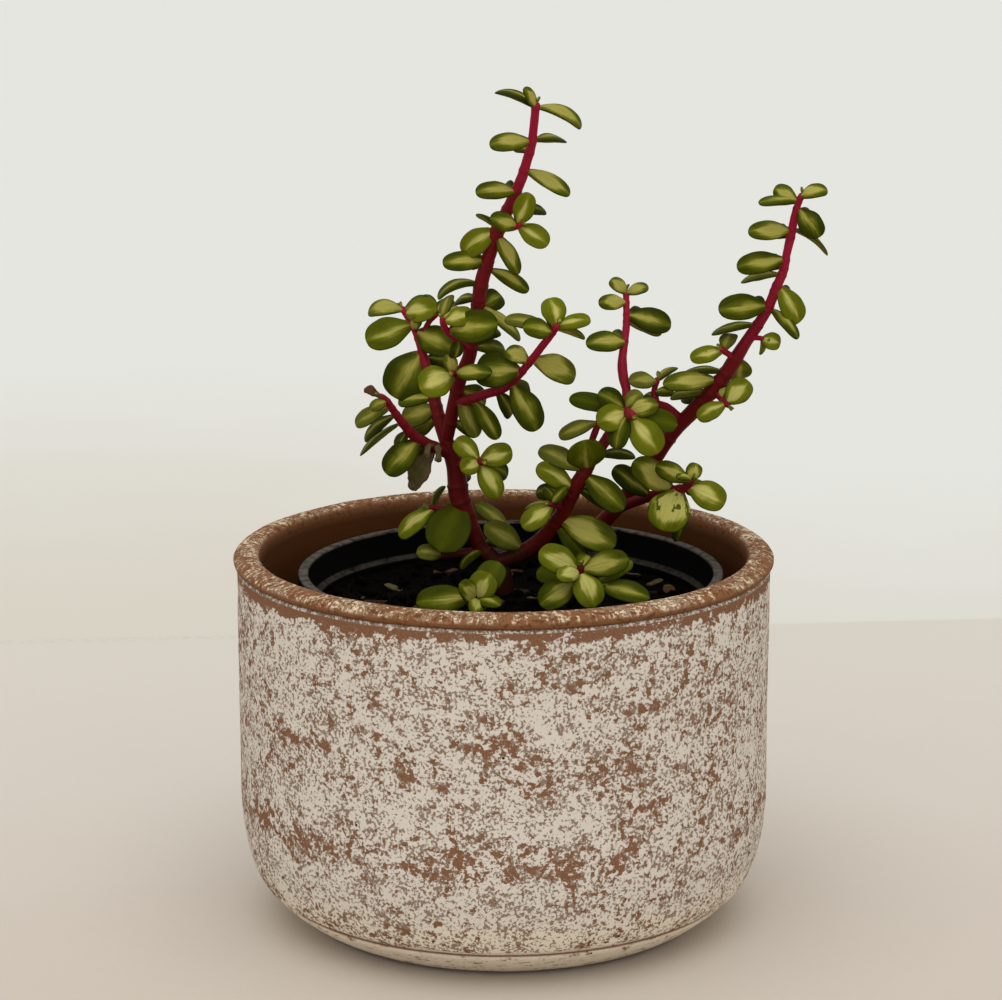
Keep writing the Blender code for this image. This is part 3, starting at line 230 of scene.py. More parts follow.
TALL_STEM = branch(
    [(-16, 137.5, 15, 2), (-15, 142, 13.5, 2), (-13.6, 148.5, 12, 2), (-12, 155, 10.5, 2),
     (-9.7, 160.5, 9.5, 2), (-8.7, 166, 9, 2), (-7.2, 175, 8, 2), (-6.3, 181, 7, 2.1),
     (-4.6, 187.5, 5.5, 2), (-2.2, 195, 3.5, 2.1), (1.5, 203, 1, 1.7), (4.8, 210.5, -1.5, 1.5),
     (6.2, 215, -3, 1.4), (7.6, 220, -5, 1.3), (8.2, 225, -7, 1.2), (8.8, 230.8, -9.5, 1.2)],
    (8.3, 230.6, -2.5, 234.3, 5.5, Tone.DARK, 60, 2, 1.4),
    (8.2, 230.4, 5.4, 235.7, 3.4, Tone.CREAM, 40, -3),
    (9, 230.4, 21.2, 224.6, 6, Tone.BLUSH, 62, 1, 1.8),
    (7.6, 221, -3.9, 219.8, 6.2, Tone.CREAM, 25, -4),
    (8.2, 221, 17, 220.9, 6.5, Tone.GREEN, 72, 4),
    (5.6, 213, 18.3, 206.2, 6, Tone.CREAM, 40),
    (4, 207, -7.8, 206.7, 6, Tone.STRIPED, 40, -4),
    (1, 202, 11.7, 201.5, 5, Tone.DARK, 50, 7),
    (-1.8, 197, -7.5, 200.2, 5, Tone.DARK, 82, 5),
    (-2, 196.5, -11.5, 190.2, 7.5, Tone.YOUNG, 15, 2),
    (-4.6, 187.8, -17, 187.2, 6, Tone.STRIPED, 20, -3),
    (-2.2, 195.5, 4, 184, 5.5, Tone.CREAM, 20, -3),
    (-4.5, 185.7, 7, 179.3, 5, Tone.STRIPED, 35, 1),
    (-6.5, 181, -18.3, 177.2, 5.5, Tone.GREEN, 70, 0, 2.2),
    (-6.8, 173.6, -0.8, 178.4, 7.2, Tone.DARK, 20, 6),
    (-7.2, 177, -13.5, 176, 5, Tone.GREEN, 65, 7),
    (-6.8, 175.5, 4.7, 165.5, 5.4, Tone.BLUSH, 50, 1),
    (-8.6, 166, -1, 168, 4.6, Tone.DARK, 30, 6),
    (-8.8, 163.5, 0.4, 163, 5.6, Tone.GREEN, 35, 7),
    (-15, 142.5, -7.6, 138.6, 4.6, Tone.GREEN, 40, 3),
    (7.2, 218, 4.2, 220.2, 5.4, Tone.GREEN, 10, 9),
    (3.6, 207.6, 0, 207.6, 5, Tone.DARK, 30, 8),
    (-2.4, 194.6, -6, 194, 5.4, Tone.GREEN, 30, 9),
    (-4.8, 186.8, -9, 187.6, 5.2, Tone.DARK, 20, 9),
    (-8, 170, -6.2, 171.6, 6, Tone.GREEN, 10, 10),
    (-13, 151.6, -5, 147.4, 8, Tone.GREEN, 15, 6),
)
TALL_TWIG = branch(
    [(-1.6, 196.8, 3, 1), (2.2, 197, -1.5, 0.9), (4.6, 198, -4, 0.9)],
    (4.4, 198.2, 7.5, 206.6, 6.5, Tone.YOUNG, 15, -3),
    (4.6, 198, 12.3, 192.2, 6.5, Tone.YOUNG, 15, -3),
    (3.6, 197.6, -3.9, 199.6, 5.8, Tone.STRIPED, 10, -4),
)
SIDE_TWIG = branch(
    [(-9.3, 163.2, 9.2, 1.2), (-12.6, 165.6, 5, 1.1), (-16, 168.6, 1, 1), (-17, 171.4, -1, 0.9)],
    (-15.4, 168.2, -1.6, 170.2, 9.8, Tone.GREEN, 8, -7),
    (-17, 171, -8.4, 172.9, 6, Tone.BRIGHT, 20),
    (-17, 171.2, -12, 174.4, 4.6, Tone.YOUNG, 40, 4, 3),
    (-17, 171.4, -14.4, 178.4, 4.4, Tone.PALE, 45, 5),
    (-13, 166, -14, 160.6, 4.6, Tone.DARK, 30),
)
ROUND_TWIG = branch(
    [(-11.8, 155.4, 10.5, 1.1), (-13.2, 156, 5, 1), (-14.4, 156.3, 1, 0.9)],
    (-14.2, 156.5, -3.4, 156.2, 5.4, Tone.STRIPED, 20, -14),
    (-14.4, 156.5, -16.2, 161.4, 4.2, Tone.BLUSH, 20),
    (-14.3, 155.6, -23.6, 151.9, 9.8, Tone.BRIGHT, 10, -4),
)
LEANING_SHOOT = branch(
    [(-13.6, 147.6, 12.2, 1.5), (-9, 149, 8, 1.4), (-4.5, 150.5, 4, 1.35), (0, 152, 0.5, 1.3),
     (3.5, 155, -2.5, 1.2), (6.5, 158.5, -5.5, 1.15), (10, 163, -9, 1.1), (13, 167, -12, 1.05),
     (14.8, 169.6, -14, 0.95)],
    (13.4, 168, 5.3, 169.3, 6.2, Tone.GREEN, 15, -5),
    (13.6, 168.4, 0.2, 171.6, 5, Tone.PALE, 40, 4),
    (14.6, 169.3, 12.9, 177.6, 7.2, Tone.YOUNG, 20, 3),
    (15, 169.6, 24.2, 171.5, 5, Tone.YOUNG, 35, 1),
    (14.3, 168.8, 22.5, 165.8, 5, Tone.PALE, 115, 2),
    (7.6, 160.2, 20, 155, 8.4, Tone.BLUSH, 25, 3),
    (2.2, 153.6, 9.5, 140, 8.8, Tone.NARROW, 10, -3),
    (-2, 151.2, 2, 144, 5.4, Tone.DARK, 30, 5),
    (5, 157, -8, 156.9, 11, Tone.NARROW, 10, 2),
    (7, 159.2, 0.4, 162.6, 6, Tone.CREAM, 30, 3),
    (-9, 149, -1.5, 137.4, 6, Tone.GREEN, 25, -3),
    (-12.4, 149, -7.8, 137.8, 6.8, Tone.PALE, 25, -4.5),
    (-1, 151.8, -1.4, 157.6, 6, Tone.GREEN, 10, 10),
    (3, 154.4, 6.2, 148.8, 5.6, Tone.DARK, 170, 8),
    (13.8, 168.2, 13.6, 174.6, 5.4, Tone.GREEN, 10, 9),
)
MIDDLE_STEM = branch(
    [(-1.8, 102.4, 15, 2.2), (1.5, 103.2, 14.7, 2.3), (5, 104.6, 14, 2.4), (9.8, 107.8, 12.5, 2.4),
     (13.8, 112.2, 10.5, 2.3), (16.8, 116.8, 8.5, 2.1), (19.3, 122, 6.5, 2.1), (21.5, 126, 5.5, 2.2),
     (24.5, 131, 4.8, 1.7), (27.5, 135.5, 5, 1.6), (29.8, 139.3, 6, 1.5), (32.2, 143.5, 7.5, 1.4),
     (34, 148, 9.5, 1.3), (34.2, 151.5, 11.5, 1.3), (33.4, 155, 13.5, 1.4), (33, 158.6, 15.5, 1.4),
     (33.2, 162, 17, 1.2), (33.8, 167, 19.5, 1.1), (34.1, 171, 21.5, 1.05), (33.9, 179.2, 25.5, 0.9)],
    (33.8, 178.8, 29.5, 182.5, 4.2, Tone.BLUSH, 35, 1),
    (34, 178.8, 40.2, 180.4, 4.2, Tone.BLUSH, 40, -1),
    (33.9, 176.2, 26.3, 176, 4.8, Tone.CREAM, 15, -4),
    (34.1, 172.8, 46.6, 169.6, 7.7, Tone.NARROW, 10, -1),
    (34.1, 171, 43.6, 167, 6, Tone.BLUSH, 130, 4),
    (34, 165, 22.8, 164.6, 6.4, Tone.STRIPED, 15, -5, 1.4),
    (23.4, 129, 22.6, 137.4, 11.4, Tone.OLIVE, 5, -9),
    (22.6, 128.6, 9.7, 134.5, 7, Tone.PALE, 25, 2),
    (19.8, 123.4, 9.2, 129.8, 6.6, Tone.YOUNG, 15, -3),
    (18.9, 121.6, 9, 122.3, 5.6, Tone.DARK, 30, 4),
    (22.4, 127.4, 33.8, 117.2, 8, Tone.GREEN, 10, -5),
    (20.3, 123.4, 30, 117.6, 4.8, Tone.DARK, 30, 4),
    (25.6, 132.6, 37, 132.4, 5, Tone.DARK, 60, 3),
    (15.8, 114.6, 31.6, 106.6, 9.6, Tone.CREAM, 15, -6),
    (14.6, 113.2, 23.2, 102.6, 6.4, Tone.DARK, 25, -3),
    (5.2, 106, -5.4, 113, 7.4, Tone.PALE, 10, -4),
    (4.2, 104.6, -5.2, 108.4, 4.6, Tone.DARK, 55, 3),
    (23.6, 129.6, 25, 134.2, 7.4, Tone.GREEN, 10, 9),
    (33.9, 172.4, 39.4, 172.6, 5.4, Tone.DARK, 30, 8),
    (33.7, 165.6, 29.4, 166.4, 5.4, Tone.GREEN, 30, 8),
    (14.4, 113, 20.6, 110.8, 6.4, Tone.DARK, 160, 7),
    (19.2, 121.8, 23, 124.6, 6, Tone.GREEN, 20, 9),
)
MIDDLE_TWIG = branch(
    [(22.3, 127.6, 5.4, 1.2), (23.6, 132, 4.6, 1.1), (24.7, 137, 4.2, 1), (25.8, 140.2, 3.8, 1),
     (26.8, 143, 3.4, 0.9)],
    (26.4, 142.4, 15.4, 138, 5, Tone.PALE, 30),
)
OVAL_TWIG = branch(
    [(16.9, 117.4, 8.3, 0.9), (15, 118.4, 5, 0.8), (13.1, 118.8, 2.5, 0.8)],
    (13.6, 118.8, 17.9, 123.6, 4.2, Tone.GREEN, 30, -3),
    (13.2, 118.9, 11, 123.4, 3.4, Tone.GREEN, 50, 2),
    (13.3, 118.6, 5.2, 111.9, 6.8, Tone.BRIGHT, 8, -4),
    (13.2, 118.7, 6, 117.2, 4.4, Tone.PALE, 65, 2),
)
FORK_TWIG = branch(
    [(4.4, 104.8, 14.2, 1), (3, 108, 17.5, 0.9), (1.6, 111.4, 20, 0.9)],
    (1.8, 111, -8.2, 118.8, 6.2, Tone.PALE, 45, 1),
)
CLUSTER = branch(
    [(33.2, 146.2, 8.7, 1.4), (34, 145.5, 3, 1.4), (34.9, 144.8, -3, 1.4), (36, 144, -7.5, 1.3)],
    (33.9, 145.8, 18.2, 149, 5.8, Tone.PLAIN, 25, 1),
    (34, 145.9, 26.2, 150.4, 7.4, Tone.DARK, 20, -3),
    (34.4, 145.9, 38.4, 151, 5.4, Tone.PALE, 30),
    (35, 145.3, 43.2, 147.2, 6, Tone.CREAM, 15, -3),
    (34.6, 145, 26, 142.2, 8, Tone.BRIGHT, 5, -5),
    (35.2, 143.9, 43.4, 133.4, 9.4, Tone.YOUNG, 8, -4),
    (35.4, 144.4, 48.6, 141.4, 6.8, Tone.PLAIN, 20, 1),
    (34.6, 144.4, 31.4, 134.6, 6.8, Tone.DARK, 30, -4),
    (34.8, 145, 39, 141.4, 6.4, Tone.GREEN, 160, 8),
)
THICK_STEM = branch(
    [(14, 88, 29.5, 2.3), (15, 95.5, 29, 2.3), (19, 103, 28, 2.3), (25, 110.5, 26, 2.3),
     (31.5, 117.5, 24, 2.3), (37, 124.5, 22, 2.3), (42, 131.5, 20, 2.2), (45.5, 136.8, 18, 2.1),
     (48.8, 141.3, 16.5, 2.2), (52.6, 145.2, 15, 2.2), (57, 150, 13.5, 2.2), (61, 154.8, 12, 2.2),
     (64.3, 160, 10.5, 2.1), (67.3, 165, 9, 1.7), (70.6, 170, 7.5, 1.6), (73.4, 175, 6, 1.5),
     (75.5, 180.5, 4.5, 1.45), (77.3, 185, 3.5, 1.3), (78.2, 190, 2.5, 1.2), (79.2, 195, 1.5, 1.3),
     (80.1, 200, 0, 1.15), (80.9, 203.3, -1, 1), (81.9, 206, -2, 0.9)],
    (81.8, 205.7, 89.1, 207.2, 4.6, Tone.CREAM, 35, -2, 1.6),
    (81, 204.5, 74.2, 207.8, 4.8, Tone.CREAM, 15, 3),
    (80.9, 204, 70.1, 203.7, 5, Tone.GREEN, 65, -4),
    (81, 202.5, 87.3, 194.5, 6.8, Tone.NARROW, 8, -3),
    (79.5, 196.3, 67.3, 195.9, 5.9, Tone.CREAM, 15, -1),
    (79.8, 196.6, 89.4, 189.3, 5, Tone.OLIVE, 80, 2, 1.4),
    (78, 188.3, 64.3, 186, 6.6, Tone.STRIPED, 15, -1),
    (76.8, 184, 65.6, 181.9, 5, Tone.PALE, 65, 5),
    (73.6, 175.3, 59.5, 174.2, 7.9, Tone.GREEN, 15, -2),
    (70.3, 170, 57.6, 167.2, 5, Tone.GREEN, 55, 3),
    (76, 181, 82.2, 170.6, 7.4, Tone.YOUNG, 12, 2),
    (74, 174.5, 81.8, 165.9, 5, Tone.STRIPED, 40, -4),
    (64.5, 161, 65.8, 154.7, 7.6, Tone.OLIVE, 10, 6),
    (59.5, 154.6, 44.3, 153, 6.6, Tone.CREAM, 20, -4),
    (61.6, 156.4, 50.2, 156.4, 4.6, Tone.DARK, 66, 3),
    (57, 151, 46.5, 149.4, 5, Tone.PALE, 40, 5),
    (72.8, 174, 67.6, 176, 6.4, Tone.DARK, 20, 9),
    (77.4, 186, 72.6, 187.6, 5.6, Tone.GREEN, 20, 9),
    (79, 194.6, 74.4, 196.2, 5.2, Tone.DARK, 20, 8),
    (75, 179.4, 79.4, 177.4, 5.8, Tone.GREEN, 20, 9),
    (55.4, 148.2, 50.6, 150.2, 6.2, Tone.GREEN, 20, 10),
    (80.6, 201.6, 83.8, 199.4, 4.8, Tone.DARK, 160, 7),
    (46.4, 138, 42, 137, 6, Tone.GREEN, 160, 8),
)
FAN_TWIG = branch(
    [(68.4, 166.4, 8.6, 0.8), (71, 166.2, 6.5, 0.7), (72.4, 165.9, 5.5, 0.7)],
    (72, 165.9, 76.9, 164.4, 5.2, Tone.YOUNG, 8, -1),
    (71.8, 165.9, 71.2, 161.7, 3, Tone.YOUNG, 70, 1),
)
NOTCH_TWIG = branch(
    [(64.3, 160.5, 10.4, 1), (62.2, 161.9, 8.5, 0.9), (60.7, 163, 7, 0.9)],
    (61, 162.9, 63.8, 167.4, 5.6, Tone.PALE, 35, 3),
    (61, 162.9, 51.9, 160.2, 5.2, Tone.YOUNG, 20, -2),
)
LOW_TWIG = branch(
    [(59, 151, 13, 1.1), (61, 148.9, 9.5, 1), (62.6, 147.2, 7, 0.9)],
    (62.4, 147.4, 68.4, 154, 7.4, Tone.BRIGHT, 5),
    (62.2, 147.5, 54.2, 143.2, 5.4, Tone.YOUNG, 15, -2),
    (61.2, 149, 62, 152.2, 2.6, Tone.BLUSH, 40, 3),
)
LEFT_TWIG = branch(
    [(49.6, 143.2, 16.1, 1.3), (45.6, 146.6, 14.5, 1.2), (42.8, 147.8, 13.5, 1.1), (42, 151, 14, 0.9),
     (42.8, 154.6, 15, 0.8)],
    (43.4, 147.6, 39.4, 150, 4, Tone.DARK, 40, 4),
    (42.2, 150.6, 47.4, 150.4, 4, Tone.DARK, 40, -3),
    (42.6, 154.2, 34.9, 153.8, 5.6, Tone.PALE, 30, -5),
    (42.8, 154.4, 48.4, 157.8, 4, Tone.PALE, 62, 3),
)
LOW_RIGHT_SHOOT = branch(
    [(31.5, 117.5, 24, 1.7), (36, 119.3, 19.5, 1.6), (41, 121, 13.5, 1.5), (45, 122.2, 8, 1.4),
     (48.5, 123, 3.5, 1.4), (51, 123.6, 0.5, 1.3), (52.8, 125.8, -1.5, 0.9)],
    (49.5, 123.2, 44.3, 111.2, 12.6, Tone.MOTTLED, 5, -6),
    (52.2, 125.4, 42.6, 129.9, 5.8, Tone.STRIPED, 12),
    (52.8, 125.8, 54.3, 130.5, 4.6, Tone.CREAM, 10, 1),
    (51.4, 124, 62.4, 119, 8.4, Tone.BRIGHT, 10, -2),
    (52.4, 125.4, 48.6, 126.2, 3.4, Tone.CREAM, 65, -4),
    (50, 123.3, 48.8, 108, 6, Tone.DARK, 40, 3),
    (41.2, 121.1, 30.6, 129.2, 6.9, Tone.DARK, 15, -1),
    (47.6, 122.8, 36.1, 131.1, 8.6, Tone.CREAM, 10, -2),
    (47.4, 122.8, 45.8, 118, 6.2, Tone.DARK, 170, 9),
    (51.2, 124, 56.6, 122.2, 5.6, Tone.GREEN, 160, 8),
)
FRONT_RIGHT = branch(
    [(20.5, 81, -4, 1.6), (21, 90, -6, 1.5), (21.3, 95, -8, 1.4), (21.7, 100.4, -10, 1.2)],
    (21.2, 99.8, 10, 105.2, 8.4, Tone.BRIGHT, 10, -2),
    (21.3, 99.2, 15, 97.6, 5.2, Tone.BUD, 10, -6),
    (21.6, 99.2, 25.7, 88.8, 9, Tone.BRIGHT, 10, -6),
    (22.2, 99.8, 35.3, 103, 7.6, Tone.CREAM, 10, -2),
    (20.9, 96.4, 10.2, 89.4, 9, Tone.STRIPED, 20, -3),
    (20.8, 96, 9.2, 99, 6.8, Tone.PLAIN, 30, 4),
    (21.5, 98.6, 24.2, 103.8, 6.4, Tone.GREEN, 10, 9),
)
FRONT_TWIG = branch(
    [(21.2, 94.4, -8, 1), (24.2, 95, -9, 0.9), (27.2, 95.2, -10, 0.9)],
    (26.6, 95.2, 41.4, 91.4, 7.2, Tone.GREEN, 20, -2),
    (25.4, 95.2, 36.4, 102.2, 5.4, Tone.OLIVE, 25, 4),
)
FRONT_LEFT = branch(
    [(-6, 80, -14, 1.6), (-6.4, 86, -16, 1.5), (-7.6, 90.4, -18.5, 1.3), (-8.6, 93.2, -20, 1.1)],
    (-8.4, 91.6, -24.8, 90, 8.6, Tone.GREEN, 20, -2),
    (-8.2, 91.4, -12.6, 95.8, 6, Tone.CREAM, 15, -6),
    (-8, 91.2, -8.4, 86.6, 5, Tone.CREAM, 20, -8),
    (-8, 91.4, -3.6, 98.6, 8.6, Tone.BRIGHT, 10, -2),
    (-7, 91, -1.2, 102, 8.6, Tone.PLAIN, 20, 5),
    (-7.6, 90.6, -0.8, 89.2, 5.4, Tone.GREEN, 40, -7),
)
FALLEN_LEAVES: list[Fallen] = [
    Fallen(38, 33, 250, 7.5, 4.4),
    Fallen(44, 25, 20, 5.5, 3.4),
    Fallen(47.5, 12, 100, 6, 3.8),
    Fallen(8.5, 2, 255, 6.5, 4.6),
    Fallen(-32, 22, 160, 6, 3.6),
]


class Wire:
    """A node's output, which sums and products can be written with."""

    def __init__(self, shader: "Shader", socket: bpy.types.NodeSocket) -> None:
        """Keep the output and the shader it is in."""
        self.shader = shader
        self.socket = socket

    def other(self, output: Union[int, str]) -> "Wire":
        """Another output of the same node."""
        return Wire(self.shader, self.socket.node.outputs[output])

    def math(self, operation: str, first: "Value", second: "Value" = 0.0) -> "Wire":
        """The result of a Math node on two values."""
        return self.shader.node("ShaderNodeMath", {"operation": operation}, {0: first, 1: second})

    def __add__(self, other: "Value") -> "Wire":
        """This plus the other."""
        return self.math("ADD", self, other)

    def __radd__(self, other: "Value") -> "Wire":
        """The other plus this."""
        return self.math("ADD", other, self)

    def __sub__(self, other: "Value") -> "Wire":
        """This less the other."""
        return self.math("SUBTRACT", self, other)

    def __rsub__(self, other: "Value") -> "Wire":
        """The other less this."""
        return self.math("SUBTRACT", other, self)

    def __mul__(self, other: "Value") -> "Wire":
        """This times the other."""
        return self.math("MULTIPLY", self, other)

    def __rmul__(self, other: "Value") -> "Wire":
        """The other times this."""
        return self.math("MULTIPLY", other, self)

    def __truediv__(self, other: "Value") -> "Wire":
        """This over the other."""
        return self.math("DIVIDE", self, other)

    def __pow__(self, other: "Value") -> "Wire":
        """This to the power of the other."""
        return self.math("POWER", self, other)

    def __abs__(self) -> "Wire":
        """This without its sign."""
        return self.math("ABSOLUTE", self)

    def least(self, other: "Value") -> "Wire":
        """The smaller of this and the other."""
        return self.math("MINIMUM", self, other)

    def most(self, other: "Value") -> "Wire":
        """The larger of this and the other."""
        return self.math("MAXIMUM", self, other)

    def step(self, low: "Value", high: "Value") -> "Wire":
        """Ease from 0 to 1 as this goes from low to high."""
        return self.shader.node(
            "ShaderNodeMapRange", {"interpolation_type": "SMOOTHSTEP"}, {0: self, 1: low, 2: high})

    def band(self, middle: float, half: float, soft: float) -> "Wire":
        """1 within half of the middle, easing to 0 over soft on both sides."""
        return 1.0 - abs(self - middle).step(half, half + soft)


Value = Union[Wire, float]


def scaled(colour: Colour, factor: float) -> Colour:
    """The colour made darker or lighter by a factor."""
    return tuple(part * factor for part in colour)


class Shader:
    """A material and its node tree, with short ways to add to it."""

    def __init__(self, name: str) -> None:
        """Make the material with an empty finish.

        Args:
            name: The material's name.
        """
        self.material = bpy.data.materials.new(name)
        self.material.use_nodes = True
        self.tree = self.material.node_tree
        self.surface = self.tree.nodes["Principled BSDF"]

    def node(self, kind: str, settings: Optional[dict[str, Any]] = None,
             sockets: Optional[dict[Any, Any]] = None, output: Union[int, str] = 0) -> Wire:
        """Add a node.

        Args:
            kind: The node's type.
            settings: Its own settings; "stops" are a colour ramp's (place, height) pairs.
            sockets: Values or wires for its inputs, by number or name.
            output: Which output is wanted.

        Returns:
            That output.
        """
        made = self.tree.nodes.new(kind)
        settings = dict(settings or {})
        stops = settings.pop("stops", ())
        elements = made.color_ramp.elements if stops else ()
        for _ in stops[2:]:
            elements.new(0.5)
        for stop, (place, height) in zip(elements, stops):
            stop.position = place
            stop.color = (height, height, height, 1.0)
        for key, value in settings.items():
            setattr(made, key, value)
        for key, value in (sockets or {}).items():
            self.put(made.inputs[key], value)
        return Wire(self, made.outputs[output])

    def put(self, socket: bpy.types.NodeSocket, value: Any) -> None:
        """Link a wire to an input, or set the input's own value.

        Args:
            socket: The input.
            value: The wire, number, colour or vector.
        """
        if isinstance(value, Wire):
            self.tree.links.new(value.socket, socket)
        elif socket.type == "RGBA":
            socket.default_value = (*value, 1.0)
        else:
            socket.default_value = value

    def place(self) -> Wire:
        """Where a point of the surface is on the object, in millimetres."""
        spot = self.node("ShaderNodeTexCoord", output="Object")
        return self.node("ShaderNodeVectorMath", {"operation": "SCALE"}, {0: spot, "Scale": 1.0 / MM})

    def parts(self, vector: Wire) -> tuple[Wire, Wire, Wire]:
        """A vector's three numbers."""
        first = self.node("ShaderNodeSeparateXYZ", sockets={0: vector})
        return first, first.other(1), first.other(2)

    def told(self, name: str) -> tuple[Wire, Wire, Wire]:
        """The three numbers that each vertex of the mesh holds under a name."""
        return self.parts(self.node("ShaderNodeAttribute", {"attribute_name": name}, output="Vector"))

    def vector(self, x: Value, y: Value, z: Value) -> Wire:
        """A vector from three numbers."""
        return self.node("ShaderNodeCombineXYZ", sockets={0: x, 1: y, 2: z})

    def noise(self, vector: Wire, scale: float, detail: float = 3.0, rough: float = 0.55,
              bent: float = 0.0) -> Wire:
        """Cloudy noise from 0 to 1: lumps to a unit, finer layers, their strength, and how bent it is."""
        return self.node("ShaderNodeTexNoise", sockets={
            "Vector": vector, "Scale": scale, "Detail": detail, "Roughness": rough, "Distortion": bent})

    def spots(self, vector: Wire, scale: float, size: float, share: float) -> Wire:
        """Round spots, one at most to a cell.

        Args:
            vector: Where they are read.
            scale: Cells to a unit of the vector.
            size: A spot's radius, as a share of a cell.
            share: The share of the cells that have one.

        Returns:
            1 in a spot, 0 elsewhere.
        """
        sockets = {"Vector": vector, "Scale": scale}
        away = self.node("ShaderNodeTexVoronoi", sockets=sockets, output="Distance")
        chance = self.parts(away.other("Color"))[0]
        return (1.0 - away.step(size * 0.6, size)) * chance.step(0.98 - share, 1.0 - share)

    def mix(self, share: Value, first: Any, second: Any) -> Wire:
        """Blend two colours; the share is the second's."""
        return self.node("ShaderNodeMix", {"data_type": "RGBA"}, {0: share, 6: first, 7: second}, 2)

    def layers(self, colour: Any, *layers: tuple[Value, Any]) -> Wire:
        """Lay more colours over a first one, each with its share.

        Args:
            colour: The lowest colour.
            *layers: Shares and colours, from the lowest up.

        Returns:
            The colour they make.
        """
        for share, over in layers:
            colour = self.mix(share, colour, over)
        return colour

    def ramp(self, value: Wire, stops: tuple[Point, ...]) -> Wire:
        """Read a value on a line through (place, height) stops."""
        return self.node("ShaderNodeValToRGB", {"stops": stops}, {0: value})

    def finish(self, colour: Any, roughness: Value, height: Wire, depth: float, specular: float,
               more: Optional[dict[str, float]] = None) -> Material:
        """Wire the surface up.

        Args:
            colour: Its base colour.
            roughness: Its roughness.
            height: Height of its bumps, from 0 to 1.
            depth: How many millimetres high they are at 1.
            specular: How strongly it shines.
            more: Values of its other sockets.

        Returns:
            The material.
        """
        bumps = self.node("ShaderNodeBump", sockets={
            "Height": height, "Distance": depth * MM, "Strength": 1.0})
        sockets = {
            "Base Color": colour, "Roughness": roughness, "Normal": bumps, "Specular IOR Level": specular}
        for name, value in (sockets | (more or {})).items():
            self.put(self.surface.inputs[name], value)
        return self.material


class ClaySpot(NamedTuple):
    """What a place of the clay is read by: where it is, how far from the axis, and a fine noise."""
    x: Wire
    y: Wire
    z: Wire
    radius: Wire
    fine: Wire


